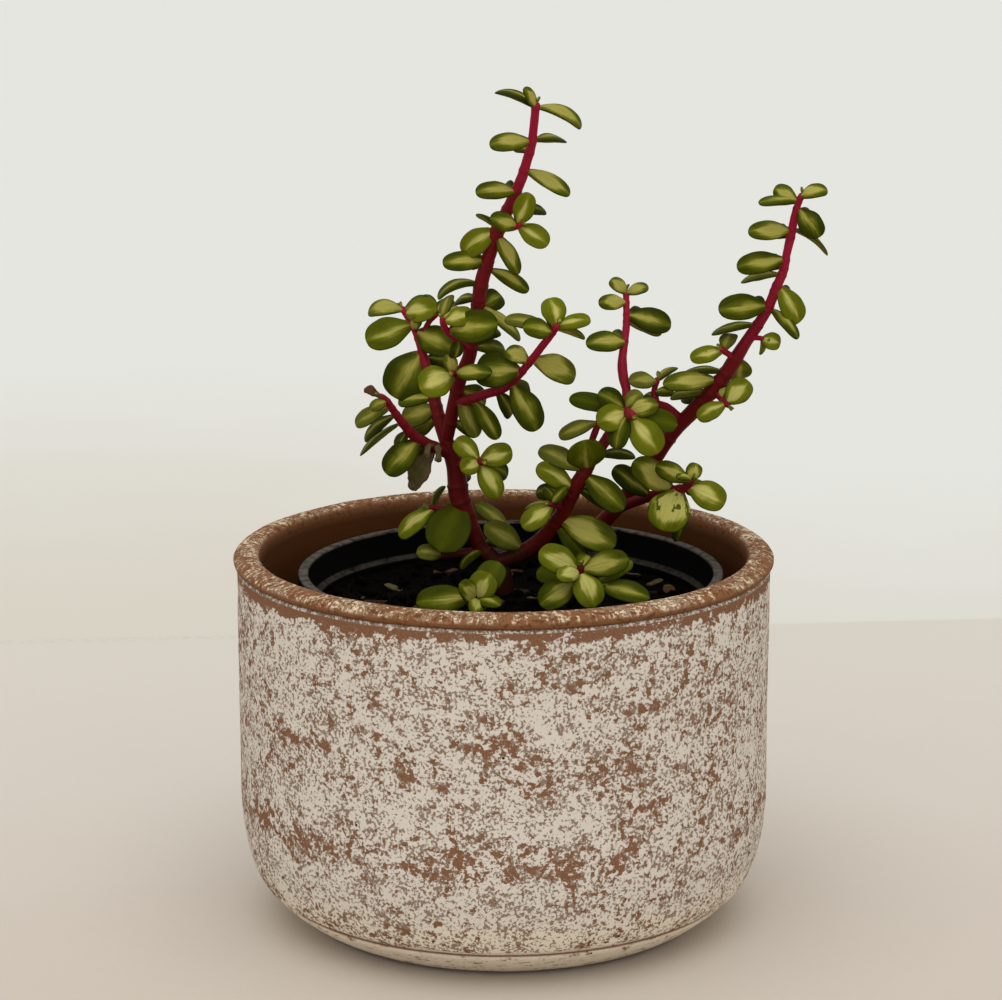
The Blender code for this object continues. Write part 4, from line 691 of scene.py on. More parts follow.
@dataclass(frozen=True)
class SpeckledClay:
    """Brown clay under a thin off-white slip that has broken up into specks and patches."""
    pot: "ClayPot"
    bare: Colour = (0.285, 0.135, 0.072)
    dull: Colour = (0.185, 0.094, 0.052)
    # Dark brown for dark grain on the bead, and painted shade in the groove, the crease under the bead and
    # the inner wall
    dark_clay_and_shade: Colour = (0.080, 0.024, 0.0040)
    warm: Colour = (0.225, 0.098, 0.041)
    slip: Colour = (0.745, 0.680, 0.600)
    # Creamier, lighter slip low on the pot: partly its own tone, partly painted bounce light from the floor
    cream: Colour = (0.880, 0.785, 0.630)
    worn: Colour = (0.760, 0.600, 0.405)
    thin: Colour = (0.235, 0.145, 0.092)
    # Near-black painted shade in the pits
    pit_shade: Colour = (0.012, 0.009, 0.008)
    # Heights: where the rim's top starts, the crease under its bead, where light reaches the inner wall,
    # which is painted in shade below it
    brow: float = 105.0
    crease: float = 102.7
    lit: float = 101.0
    # How far up from the groove the slip is creamier and lighter, partly its own tone and partly painted
    # bounce light from the floor, and the circle that the rim's flecks are laid on
    cream_and_bounce_reach: float = 16.0
    fleck_circle: float = 44.0
    # How bare the wall is at shares of the pot's height
    bareness: tuple[Point, ...] = (
        (0.09, -0.05), (0.13, 0.05), (0.18, -0.01), (0.29, 0.04), (0.33, 0.12), (0.38, 0.09), (0.45, 0.03),
        (0.62, 0.06), (0.80, 0.05), (0.922, 0.05), (0.945, 0.30))

    def material(self) -> Material:
        """Build the finish.

        Returns:
            The material.
        """
        groove, crease = self.pot.groove_height, self.crease
        shader = Shader("speckled_clay")
        place = shader.place()
        x, y, z = shader.parts(place)
        radius = (x * x + y * y) ** 0.5
        lying = shader.vector(x, y, z * 1.3)
        fine = shader.noise(place, 0.62, 3.0, 0.64)
        grain = shader.noise(place, 2.4, 3.0, 0.65)
        zones = shader.noise(lying, 0.13, 3.0, 0.6)
        spot = ClaySpot(x, y, z, radius, fine)
        outside = self.outside(spot)
        cover = self.cover(shader, spot, lying)
        wall = cover.step(-0.025, 0.025) * outside * (1.0 - z.step(crease - 1.2, crease - 0.8))
        wall = wall * z.step(groove - 0.2, groove + 0.2)
        slip = (wall + self.rim(shader, spot) + self.foot(shader, spot)).least(1.0)
        speck = (shader.noise(place, 1.15, 3.0, 0.62) * 1.1 + zones * 0.40 - cover * 0.25).step(0.735, 0.80)
        # Small pits, dented and painted near-black as shade
        shaded_pits = shader.spots(place, 0.16, 0.075, 0.30) * outside
        bead = z.step(crease, crease + 0.5)
        # Painted shade: dark lines in the groove and in the crease under the bead
        groove_and_crease_shade = (z.band(groove, 0.1, 0.3) * fine.step(0.35, 0.6) * 0.35
                 + z.band(crease + 0.15, 0.1, 0.3) * 0.7)
        # Painted shade: the inner wall is darkened below where light reaches it
        inside = (1.0 - outside) * (1.0 - z.step(self.lit, self.lit + 4.5) * 0.75)
        clay = shader.layers(
            self.bare, (grain.step(0.35, 0.65), self.dull), (bead * 0.8, self.warm),
            (bead * (1.0 - fine.step(0.32, 0.50)) * 0.65, self.dark_clay_and_shade))
        # Low on the pot the slip is creamier and lighter: partly its own tone, partly painted bounce light
        # from the floor
        whole = shader.layers(
            self.slip, ((1.0 - z.step(groove, groove + self.cream_and_bounce_reach)) * 0.8, self.cream),
            (z.step(crease, crease + 1.0), self.worn),
            (speck * 0.88 * z.step(groove, groove + 2.0), self.thin))
        colour = shader.layers(
            clay, (slip, whole), (groove_and_crease_shade * outside * 0.75, self.dark_clay_and_shade), (shaded_pits, self.pit_shade),
            (inside * 0.92, self.dark_clay_and_shade))
        height = slip * 0.5 + grain * 0.4 + fine * 0.35 - shaded_pits * 0.6 - speck * slip * 0.35
        return shader.finish(colour, 0.80 + slip * 0.12, height, 0.24, 0.06)

    def outside(self, spot: ClaySpot) -> Wire:
        """Tell the outer wall and rim from the inner wall.

        Args:
            spot: What a place of the clay is read by.

        Returns:
            1 outside, 0 inside.
        """
        pot, z = self.pot, spot.z
        turn = ((pot.shoulder_height - z) / (pot.shoulder_height - pot.groove_height)).most(0.0).least(1.0)
        wall = pot.groove_radius + (pot.wall_radius - pot.groove_radius) * (1.0 - turn * turn) ** 0.5
        inner = (wall - spot.radius).step(3.0, 4.0) * z.step(pot.groove_height, pot.groove_height + 0.5)
        return 1.0 - inner * (1.0 - z.step(self.brow, self.brow + 0.5))

    def cover(self, shader: Shader, spot: ClaySpot, lying: Wire) -> Wire:
        """How far the slip's thickness is over nothing, by how bare each height is.

        Args:
            shader: The shader.
            spot: What a place of the clay is read by.
            lying: Place on the pot, squeezed in height, so that patches lie on their side.

        Returns:
            The thickness, under 0 where the clay is bare.
        """
        patch = shader.noise(lying, 0.25, 4.0, 0.65)
        broad = shader.noise(lying, 0.050, 2.0, 0.5)
        bare = shader.ramp(spot.z / self.pot.rim_height, self.bareness)
        return (patch - 0.5) * 0.80 + (spot.fine - 0.5) * 0.85 + (broad - 0.5) * 0.35 + 0.150 - bare

    def rim(self, shader: Shader, spot: ClaySpot) -> Wire:
        """Cream flecks smeared along the rim's top, and a worn line under its bead.

        Args:
            shader: The shader.
            spot: What a place of the clay is read by.

        Returns:
            How much of the slip is left there, 0 to 1.
        """
        inner, wall = self.pot.rim_radius - self.pot.rim_width, self.pot.wall_radius
        x, y, z, radius, fine = spot
        circle = self.fleck_circle
        along = shader.vector(x / radius * circle, y / radius * circle, radius * 0.8 + z * 0.8)
        flecks = shader.noise(along, 1.10, 4.0, 0.72, 0.3)
        zones = shader.noise(along, 0.15, 2.0, 0.6)
        top = z.step(self.brow - 0.9, self.brow + 0.3) * radius.step(inner - 0.2, inner + 1.0)
        line = z.band(self.crease - 0.50, 0.25, 0.40) * radius.step(wall - 2.0, wall - 1.0)
        shown = (flecks * 0.65 + fine * 0.35 + (zones - 0.5) * 0.35).step(0.470, 0.535)
        return top * shown * 0.95 + line * (flecks + fine).step(0.75, 0.95)

    def foot(self, shader: Shader, spot: ClaySpot) -> Wire:
        """Streaky slip below the groove, as far as 1 mm from the ground.

        Args:
            shader: The shader.
            spot: What a place of the clay is read by.

        Returns:
            How much of the slip is left there, 0 to 1.
        """
        x, y, z, _, fine = spot
        streaks = shader.noise(shader.vector(x * 0.5, y * 0.5, z * 2.0), 0.40, 4.0, 0.65)
        below = 1.0 - z.step(self.pot.groove_height - 0.6, self.pot.groove_height - 0.2)
        return below * (streaks * 0.6 + fine * 0.5).step(0.38, 0.54) * 0.90 * z.step(0.5, 1.2)


@dataclass(frozen=True)
class BlackPlastic:
    """Thin black nursery pot plastic, with grey on its lip and ledge that is partly dust and partly painted
    sheen.
    """
    black: Colour = (0.0022, 0.0018, 0.0016)
    dust_and_sheen: Colour = (0.150, 0.128, 0.105)
    lip: float = 99.2
    ledge: float = 91.9

    def material(self) -> Material:
        """Build the finish.

        Returns:
            The material.
        """
        shader = Shader("nursery_plastic")
        place = shader.place()
        _, _, z = shader.parts(place)
        film = shader.noise(place, 0.35, 4.0, 0.6)
        ribs = shader.noise(shader.vector(0.0, 0.0, z), 1.4, 2.0, 0.5)
        grain = shader.noise(place, 3.0, 2.0, 0.6)
        # Grey on the lip and ledge: partly dust, partly painted sheen; elsewhere a faint film of dust
        edges = z.step(self.lip, self.lip + 0.7) * 0.60 + z.band(self.ledge, 0.4, 0.3) * 0.26
        dust_and_sheen_share = edges * film.step(0.25, 0.60) + film.step(0.60, 0.8) * 0.012
        colour = shader.mix(dust_and_sheen_share, self.black, self.dust_and_sheen)
        return shader.finish(colour, 0.36 + film * 0.2, grain * 0.5 + ribs, 0.05, 0.02)


@dataclass(frozen=True)
class DarkSoil:
    """Moist peaty soil, almost black, with browner fibres in it."""
    wet: Colour = (0.0012, 0.0008, 0.0006)
    peat: Colour = (0.0042, 0.0022, 0.0009)
    fibre_lighter: float = 2.6

    def material(self) -> Material:
        """Build the finish.

        Returns:
            The material.
        """
        shader = Shader("dark_soil")
        place = shader.place()
        x, y, z = shader.parts(place)
        clods = shader.noise(place, 0.5, 5.0, 0.65)
        grain = shader.noise(place, 2.2, 3.0, 0.7)
        fibres = shader.noise(shader.vector(x * 1.8 + y, y * 0.35, z), 0.9, 3.0, 0.6).step(0.62, 0.72)
        colour = shader.layers(self.wet, (clods.step(0.42, 0.68), self.peat),
                               (fibres * 0.5, scaled(self.peat, self.fibre_lighter)))
        return shader.finish(colour, 0.66 + grain * 0.2, grain + clods, 0.5, 0.02)


@dataclass(frozen=True)
class Bark:
    """Weathered bits of bark and fibre on the soil."""
    colour: Colour = (0.034, 0.017, 0.008)
    darkest: float = 0.35
    lightest: float = 2.1

    def material(self) -> Material:
        """Build the finish.

        Returns:
            The material.
        """
        shader = Shader("bark_bits")
        place = shader.place()
        grain = shader.noise(place, 1.3, 4.0, 0.7)
        tint = shader.noise(place, 0.12, 1.0)
        colour = shader.layers(self.colour, (grain.step(0.3, 0.7), scaled(self.colour, self.darkest)),
                               (tint.step(0.5, 0.62) * 0.6, scaled(self.colour, self.lightest)))
        return shader.finish(colour, 0.85, grain, 0.2, 0.1)


@dataclass(frozen=True)
class RedStem:
    """Magenta-red stems, browner in the shade below and where they are old, with darker node rings."""
    young: Colour = (0.345, 0.010, 0.038)
    ripe: Colour = (0.165, 0.007, 0.010)
    shaded: Colour = (0.082, 0.006, 0.0025)
    old: Colour = (0.034, 0.009, 0.003)
    speck: Colour = (0.420, 0.210, 0.120)
    # Heights between which the shaded colour gives way
    shade_low: float = 128.0
    shade_high: float = 190.0

    def material(self) -> Material:
        """Build the finish.

        Returns:
            The material.
        """
        shader = Shader("red_stem")
        place = shader.place()
        age, ring, woody = shader.told("stem_state")
        x, y, z = shader.parts(place)
        mottle = shader.noise(place, 0.55, 4.0, 0.6)
        streak = shader.noise(shader.vector(x * 3.0, y * 3.0, z * 0.5), 0.8, 3.0, 0.6)
        scars = shader.spots(place, 0.75, 0.16, 0.35) * (ring * 2.0 + 0.15).least(1.0)
        off = mottle - 0.5
        colour = shader.layers(
            self.young, ((age + off * 0.5).step(0.15, 0.75), self.ripe),
            (streak.step(0.50, 0.75) * 0.35, self.ripe),
            ((1.0 - (z + off * 60.0).step(self.shade_low, self.shade_high)) * 0.65, self.shaded),
            ((woody + off * 0.7).step(0.30, 0.85), self.old), (ring * 0.28, self.old),
            (scars * 0.55, self.speck))
        height = streak * 0.5 + mottle * 0.6 + scars * 0.5
        return shader.finish(colour, 0.38 + mottle * 0.18, height, 0.16, 0.08)


@dataclass(frozen=True)
class VariegatedLeaf:
    """Fleshy leaves: a feathered cream stripe from the foot, then yellow-green, then green."""
    cream: Colour = (0.405, 0.365, 0.078)
    cream_young: Colour = (0.580, 0.550, 0.165)
    lime: Colour = (0.170, 0.186, 0.007)
    green: Colour = (0.072, 0.088, 0.0012)
    dark: Colour = (0.024, 0.032, 0.0010)
    margin: Colour = (0.010, 0.014, 0.0007)
    under: Colour = (0.148, 0.142, 0.026)
    blush: Colour = (0.400, 0.110, 0.075)
    speck: Colour = (0.080, 0.045, 0.015)
    # How wide the stripe is at shares of the leaf's length
    stripe_widths: tuple[Point, ...] = (
        (0.0, 0.35), (0.10, 0.55), (0.30, 1.0), (0.50, 0.98), (0.68, 0.62), (0.82, 0.15), (0.92, 0.0))

    def material(self) -> Material:
        """Build the finish.

        Returns:
            The material.
        """
        shader = Shader("variegated_leaf")
        across, along, side = shader.told("leaf_place")
        cream, dark, seed = shader.told("leaf_tone")
        young, pale, mottled = shader.told("leaf_state")
        place = shader.place()
        off = abs(across)
        under = 1.0 - side.step(-0.25, 0.25)
        streaks = shader.noise(shader.vector(across * 13.0, along * 2.6, seed * 31.0 + 5.0), 1.0, 3.0, 0.6)
        wide = shader.vector(across * 1.7, along * 2.2, seed * 23.0 + 9.0)
        blotch = shader.noise(wide, 1.0, 2.0, 0.5) - 0.5
        patches = shader.noise(shader.vector(across * 3.0, along * 3.4, seed * 11.0), 1.0, 3.0, 0.6)
        edge = self.edge(shader, across, along, seed, cream) + blotch * 0.55
        stripe = (1.0 - edge.step(-0.30, 0.17)) * cream.step(0.02, 0.12) * (1.0 - along.step(0.78, 0.95))
        halo = (1.0 - edge.step(-0.10, 0.60)) * (1.0 - dark * 0.35) * cream.step(-0.1, 0.14)
        rim = (off + along.step(0.90, 1.0) * 0.4).step(0.90, 1.02) * (1.0 - young * 0.5)
        foot = 1.0 - along.step(0.03, 0.13)
        light = shader.layers(
            self.cream, (young, self.cream_young), (streaks.step(0.48, 0.75) * 0.45, self.lime))
        colour = shader.layers(
            self.green, (dark, self.dark), (young * 0.60, self.lime), (halo * 0.80, self.lime),
            (blotch.step(0.0, 0.35) * 0.35, self.dark), (stripe * 0.92, light),
            (mottled * (patches + off * 0.10).step(0.60, 0.64), self.green),
            (under * 0.6 + pale * 0.38 * (1.0 - under), self.under), (rim * 0.75, self.margin),
            (foot * (0.5 + pale * 0.3), self.blush),
            (shader.spots(place, 0.28, 0.075, 0.16) * 0.75, self.speck))
        crease = (1.0 - off.step(0.0, 0.10)) * (1.0 - along.step(0.6, 0.9)) * (1.0 - under)
        cells = shader.noise(place, 1.7, 3.0, 0.6)
        height = shader.noise(place, 0.35, 2.0, 0.5) * 1.6 + cells * 0.25 - crease * 0.5
        return shader.finish(colour, 0.38 + cells * 0.16 + under * 0.1, height, 0.16, 0.03,
                             {"Subsurface Weight": 0.06, "Subsurface Scale": 0.002})

    def edge(self, shader: Shader, across: Wire, along: Wire, seed: Wire, cream: Wire) -> Wire:
        """How far a place is outside the stripe, which sways and has a feathered edge.

        Args:
            shader: The shader.
            across: Place across the leaf, from -1 to 1.
            along: Place along it, from 0 to 1.
            seed: The leaf's own draw.
            cream: The stripe's width.

        Returns:
            The distance, under 0 inside the stripe.
        """
        feather = shader.noise(shader.vector(across * 5.0, along * 1.7, seed * 40.0), 1.0, 3.0, 0.60)
        sway = (shader.noise(shader.vector(along * 1.6, seed * 17.0, 3.0), 1.0, 1.0) - 0.5) * 0.6
        width = cream * shader.ramp(along, self.stripe_widths)
        return abs(across + sway) - width + (feather - 0.5) * 0.70 * (0.35 + cream)


@dataclass(frozen=True)
class DryLeaf:
    """Shrivelled and fallen leaves: dull green going to brown and dusty red."""
    green: Colour = (0.095, 0.086, 0.026)
    brown: Colour = (0.120, 0.078, 0.036)
    rust: Colour = (0.085, 0.020, 0.011)
    darkest: float = 0.3

    def material(self) -> Material:
        """Build the finish.

        Returns:
            The material.
        """
        shader = Shader("dry_leaf")
        place = shader.place()
        grain = shader.noise(place, 1.2, 4.0, 0.65)
        colour = shader.layers(
            self.green, (shader.noise(place, 0.16, 2.0, 0.5).step(0.40, 0.60), self.brown),
            (shader.noise(place, 0.09, 1.0).step(0.52, 0.62) * 0.7, self.rust),
            (grain.step(0.45, 0.75) * 0.6, scaled(self.brown, self.darkest)))
        return shader.finish(colour, 0.7, grain, 0.35, 0.05)


@dataclass(frozen=True)
class PaleFloor:
    """A matt floor, cream near the pot and cooler white behind the line where a wall would start, with
    painted shade: darker towards the front, and a warm painted shadow at the wall's foot that reaches
    farther back on the left.
    """
    near: Colour = (0.650, 0.606, 0.541)
    # Painted shade: the floor's colour towards the front
    front: Colour = (0.585, 0.515, 0.440)
    far: Colour = (0.742, 0.752, 0.722)
    # Painted shadow: warm and darker at the wall's foot
    foot: Colour = (0.652, 0.615, 0.536)
    # How dark the broken line along the wall's edge is, as a share of the front colour
    edge_line_darkness: float = 0.4
    # The line: how far back it is behind the pot, and how much farther to the right
    edge: float = 297.0
    slant: float = 0.09
    # How far back the painted warm shadow at the wall's foot gives way to the cooler white, and where the
    # white is whole
    cool_from: float = 270.0
    cool_to: float = 900.0

    def material(self) -> Material:
        """Build the finish.

        Returns:
            The material.
        """
        shader = Shader("pale_floor")
        place = shader.place()
        x, y, _ = shader.parts(place)
        cloud = shader.noise(place, 0.008, 2.0, 0.5) - 0.5
        grain = shader.noise(place, 0.35, 3.0, 0.6)
        beyond = y - x * self.slant - self.edge
        # Painted shadow at the wall's foot, reaching farther back on the left
        depth = y + x.step(-110.0, 90.0) * 240.0 + cloud * 160.0
        # Painted shade: the floor darkens towards the front
        near = shader.mix((y / 260.0 + cloud * 0.6).step(-0.8, 1.0), self.front, self.near)
        far = shader.mix(depth.step(self.cool_from, self.cool_to), self.foot, self.far)
        # A darker broken line along the left of the wall's edge
        edge_line = beyond.band(0.0, 1.2, 3.0) * grain.step(0.42, 0.62) * (1.0 - x.step(0.0, 60.0))
        colour = shader.layers(
            near, (beyond.step(-2.0, 2.0), far), (edge_line * 0.12, scaled(self.front, self.edge_line_darkness)))
        return shader.finish(colour, 0.8, grain, 0.12, 0.2)


class Bench:
    """The modelling tools, each used on one piece that is picked first."""

    @staticmethod
    def pick(*pieces: Piece) -> Piece:
        """Pick pieces and nothing else.

        Args:
            *pieces: The pieces; the first one is the active one.

        Returns:
            The first piece.
        """
        for item in bpy.context.view_layer.objects:
            item.select_set(item in pieces)
        bpy.context.view_layer.objects.active = pieces[0]
        return pieces[0]

    @staticmethod
    def added(name: str) -> Piece:
        """Name the primitive that was just added.

        Args:
            name: Its name.

        Returns:
            The primitive.
        """
        piece = bpy.context.view_layer.objects.active
        piece.name = name
        piece.data.name = name
        return piece

    @staticmethod
    @contextmanager
    def editing(piece: Piece, action: str = "SELECT") -> Iterator[None]:
        """Work on a piece's mesh in edit mode.

        Args:
            piece: The piece.
            action: SELECT or DESELECT, what is done with all of it at the start.
        """
        Bench.pick(piece)
        bpy.ops.object.mode_set(mode="EDIT")
        bpy.ops.mesh.select_mode(type="VERT")
        bpy.ops.mesh.select_all(action=action)
        yield
        bpy.ops.object.mode_set(mode="OBJECT")

    @staticmethod
    def select(piece: Piece, wanted: Callable[[Vector], bool]) -> None:
        """Select, in edit mode, the vertices whose place passes a test.

        Args:
            piece: The piece.
            wanted: The test of a place.
        """
        mesh = bmesh.from_edit_mesh(piece.data)
        for vert in mesh.verts:
            vert.select = wanted(vert.co)
        mesh.select_flush_mode()
        bmesh.update_edit_mesh(piece.data)

    @staticmethod
    def settle(piece: Piece) -> None:
        """Put a piece's place into its mesh, so that its object is at the origin."""
        Bench.pick(piece)
        bpy.ops.object.transform_apply(location=True, rotation=True, scale=True)

    @staticmethod
    def close(piece: Piece) -> None:
        """Merge doubled vertices and turn all faces outwards.

        Args:
            piece: The piece.
        """
        with Bench.editing(piece):
            bpy.ops.mesh.remove_doubles(threshold=MERGE)
            bpy.ops.mesh.normals_make_consistent(inside=False)

    @staticmethod
    def modify(piece: Piece, kind: str, **settings: Any) -> None:
        """Add a modifier to a piece and apply it.

        Args:
            piece: The piece.
            kind: The modifier's type.
            **settings: Its settings.
        """
        Bench.pick(piece)
        added = piece.modifiers.new(kind.lower(), kind)
        for name, value in settings.items():
            setattr(added, name, value)
        bpy.ops.object.modifier_apply(modifier=added.name)

    @staticmethod
    def roughen(piece: Piece, size: float, depth: float, **settings: Any) -> None:
        """Push a piece's surface in and out by cloudy noise.

        Args:
            piece: The piece.
            size: The noise's lumps, in millimetres.
            depth: How far it moves the surface in all, in millimetres.
            **settings: More of the Displace modifier's settings.
        """
        clouds = bpy.data.textures.new(f"{piece.name}_clouds", "CLOUDS")
        clouds.noise_scale = size * MM
        clouds.noise_depth = 2
        Bench.modify(piece, "DISPLACE", texture=clouds, strength=depth * MM, mid_level=0.5,
                     texture_coords="LOCAL", **settings)

    @staticmethod
    def smooth(piece: Piece) -> Piece:
        """Shade a piece smooth.

        Args:
            piece: The piece.

        Returns:
            The same piece.
        """
        Bench.pick(piece)
        bpy.ops.object.shade_smooth()
        return piece

    @staticmethod
    def join(name: str, pieces: list[Piece]) -> Piece:
        """Join pieces in one, at the origin, under a new name.

        Args:
            name: The new name.
            pieces: The pieces.

        Returns:
            The joined piece.
        """
        whole = Bench.pick(*pieces)
        bpy.ops.object.transform_apply(location=True, rotation=True, scale=True)
        if len(pieces) > 1:
            bpy.ops.object.join()
        whole.name = name
        whole.data.name = name
        return whole

    @staticmethod
    def copy(master: Piece, name: str) -> Piece:
        """Copy a piece, with a mesh of its own.

        Args:
            master: The piece.
            name: The copy's name.

        Returns:
            The copy.
        """
        made = master.copy()
        made.data = master.data.copy()
        made.name = name
        bpy.context.scene.collection.objects.link(made)
        return made

    @staticmethod
    def discard(piece: Piece) -> None:
        """Take a master or a cutter away."""
        bpy.data.objects.remove(piece, do_unlink=True)

    @staticmethod
    def dress(piece: Piece, finish: Material, slot: Slot, *nodes: str) -> None:
        """Give a finished piece its finish and its place in the frame.

        Args:
            piece: The piece.
            finish: Its material.
            slot: The record's slot for it; not used.
            *nodes: The nodes that it stands for.
        """
        piece.data.materials.clear()
        piece.data.materials.append(finish)
        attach(piece, BODY)
        if nodes:
            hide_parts(*nodes)
        LOG.info("%s: %d faces", piece.name, len(piece.data.polygons))


def clamped(value: float, low: float = 0.0, high: float = 1.0) -> float:
    """The value, or the end of its range that it is past."""
    return max(low, min(high, value))


def arc(centre: Point, radii: Point, start: float, end: float, count: int) -> list[Point]:
    """Points on an ellipse's arc, from one angle in degrees to another, ends included.

    Args:
        centre: The ellipse's middle.
        radii: Its two radii.
        start: The first angle.
        end: The last angle.
        count: How many points there are.

    Returns:
        The points.
    """
    points = []
    for step in range(count):
        angle = math.radians(start + (end - start) * step / (count - 1))
        points.append((centre[0] + radii[0] * math.cos(angle), centre[1] + radii[1] * math.sin(angle)))
    return points


def eased(points: list[Point], count: int) -> list[Point]:
    """Draw a smooth line through points.

    Args:
        points: The points.
        count: The steps from each to the next.

    Returns:
        The line's points.
    """
    line = []
    for run in runs([Vector(point) for point in points]):
        line += [tuple(between(run, step / count)) for step in range(count)]
    return line + [points[-1]]


def runs(points: list[Vector]) -> Iterator[Run]:
    """Go through the runs of a line, from each point to the next.

    Args:
        points: The line's points.

    Yields:
        The point before the run, its two ends, and the point after it.
    """
    padded = [points[0], *points, points[-1]]
    yield from zip(padded, points, points[1:], padded[3:])


def between(run: Run, share: float) -> Vector:
    """Find a point on the smooth curve from one point to the next.

    Args:
        run: The point before the curve, its two ends, and the point after it.
        share: How far along, 0 to 1.

    Returns:
        The point.
    """
    before, start, end, after = run
    first = (end - before) * 0.5
    last = (after - start) * 0.5
    square = share * share
    cube = square * share
    return (start * (2.0 * cube - 3.0 * square + 1.0) + first * (cube - 2.0 * square + share)
            + end * (3.0 * square - 2.0 * cube) + last * (cube - square))


def divided(points: list[Point], spacing: float) -> list[Point]:
    """Divide the long runs of an outline.

    Args:
        points: The outline's points.
        spacing: The longest run that is left.

    Returns:
        All points.
    """
    line = [points[0]]
    for start, end in zip(points, points[1:]):
        count = max(1, math.ceil(math.dist(start, end) / spacing))
        for step in range(1, count + 1):
            line.append((start[0] + (end[0] - start[0]) * step / count,
                         start[1] + (end[1] - start[1]) * step / count))
    return line


def turned(name: str, outline: list[Point], steps: int, across: float = 0.0) -> Piece:
    """Turn a closed body: one point is drawn out along the outline, and the line is spun.

    Args:
        name: The body's name.
        outline: Its (radius, height) points, which start and end on the axis.
        steps: How many steps the turn has.
        across: How far right of the middle its axis is.

    Returns:
        The body.
    """
    radius, height = outline[0]
    bpy.ops.mesh.primitive_plane_add(size=MM, location=(radius * MM, 0.0, height * MM))
    body = Bench.added(name)
    Bench.settle(body)
    with Bench.editing(body):
        bpy.ops.mesh.merge(type="CENTER")
        for low, high in zip(outline, outline[1:]):
            move = ((high[0] - low[0]) * MM, 0.0, (high[1] - low[1]) * MM)
            bpy.ops.mesh.extrude_vertices_move(TRANSFORM_OT_translate={"value": move})
        bpy.ops.mesh.select_all(action="SELECT")
        bpy.ops.mesh.spin(steps=steps, angle=math.tau, center=(0.0, 0.0, 0.0), axis=(0.0, 0.0, 1.0))
    Bench.close(body)
    body.location.x = across * MM
    Bench.settle(body)
    return body


@dataclass
class ClayPot:
    """The turned clay pot: a bead round its rim, a groove low down, a rounded bottom."""
    rim_radius: float = 76.0
    rim_height: float = 106.5
    rim_width: float = 7.2
    wall_radius: float = 75.0
    shoulder_height: float = 38.0
    groove_radius: float = 65.4
    groove_height: float = 9.5
    foot_radius: float = 53.0
    floor: float = 8.0
    # How far up the foot stays true, and the wall's unevenness: lump size and depth
    true_foot: float = 12.0
    waver: Point = (28.0, 0.5)
    tooth: Point = (4.0, 0.16)
    steps: int = 224
    spacing: float = 2.0

    def inside(self) -> list[Point]:
        """Inside of the pot, from the middle of its floor up to the rim.

        Returns:
            (radius, height) points.
        """
        inner = self.rim_radius - self.rim_width
        floor_radius = self.foot_radius - 3.0
        curve = (inner - 1.8 - floor_radius, self.shoulder_height - self.floor)
        rounding = arc((floor_radius, self.shoulder_height), curve, -88.0, 0.0, 12)
        return [(0.0, self.floor), *rounding, (inner - 1.4, 70.0)]

    def rim(self) -> list[Point]:
        """The rim: a top that slopes outwards, and a bead that stands out over the wall.

        Returns:
            (radius, height) points, from the inside out.
        """
        inner = self.rim_radius - self.rim_width
        outer, wall, top = self.rim_radius, self.wall_radius, self.rim_height
        return eased([
            (inner - 0.5, top - 6.0), (inner - 0.4, top - 3.2), (inner, top - 1.4),
            (inner + 0.9, top - 0.35), (inner + 2.6, top),
            (outer - 2.2, top - 0.4), (outer - 0.6, top - 1.2), (outer, top - 2.1),
            (outer - 0.35, top - 3.0), (outer - 1.15, top - 3.5), (wall - 0.6, top - 3.8),
            (wall - 0.15, top - 4.3), (wall, top - 5.4),
        ], 3)

    def outside(self) -> list[Point]:
        """Outside of the pot: the wall, the rounding with its groove, and the flat foot.

        Returns:
            (radius, height) points, from the wall down.
        """
        groove, height, foot = self.groove_radius, self.groove_height, self.foot_radius
        curve = (self.wall_radius - groove, self.shoulder_height - height)
        rounding = arc((groove, self.shoulder_height), curve, 0.0, -70.0, 16)
        low = eased([
            rounding[-1], (groove + 1.5, height + 1.1), (groove + 0.75, height + 0.7),
            (groove + 0.05, height), (groove + 0.55, height - 0.75), (groove - 0.6, height - 2.2),
            (foot + 6.5, 3.2), (foot + 2.2, 0.8), (foot + 0.2, 0.0),
        ], 3)
        return [*rounding[:-1], *low, (0.0, 0.0)]

    def build(self) -> Piece:
        """Turn the pot and leave it as uneven as a hand does.

        Returns:
            The pot.
        """
        outline = divided(self.inside() + self.rim() + self.outside(), self.spacing)
        pot = turned("clay_pot_turned", outline, self.steps)
        group = pot.vertex_groups.new(name="off_the_foot")
        for vert in pot.data.vertices:
            group.add([vert.index], clamped(vert.co.z / MM / self.true_foot), "REPLACE")
        Bench.roughen(pot, *self.waver, vertex_group=group.name)
        Bench.roughen(pot, *self.tooth, vertex_group=group.name)
        return Bench.smooth(pot)


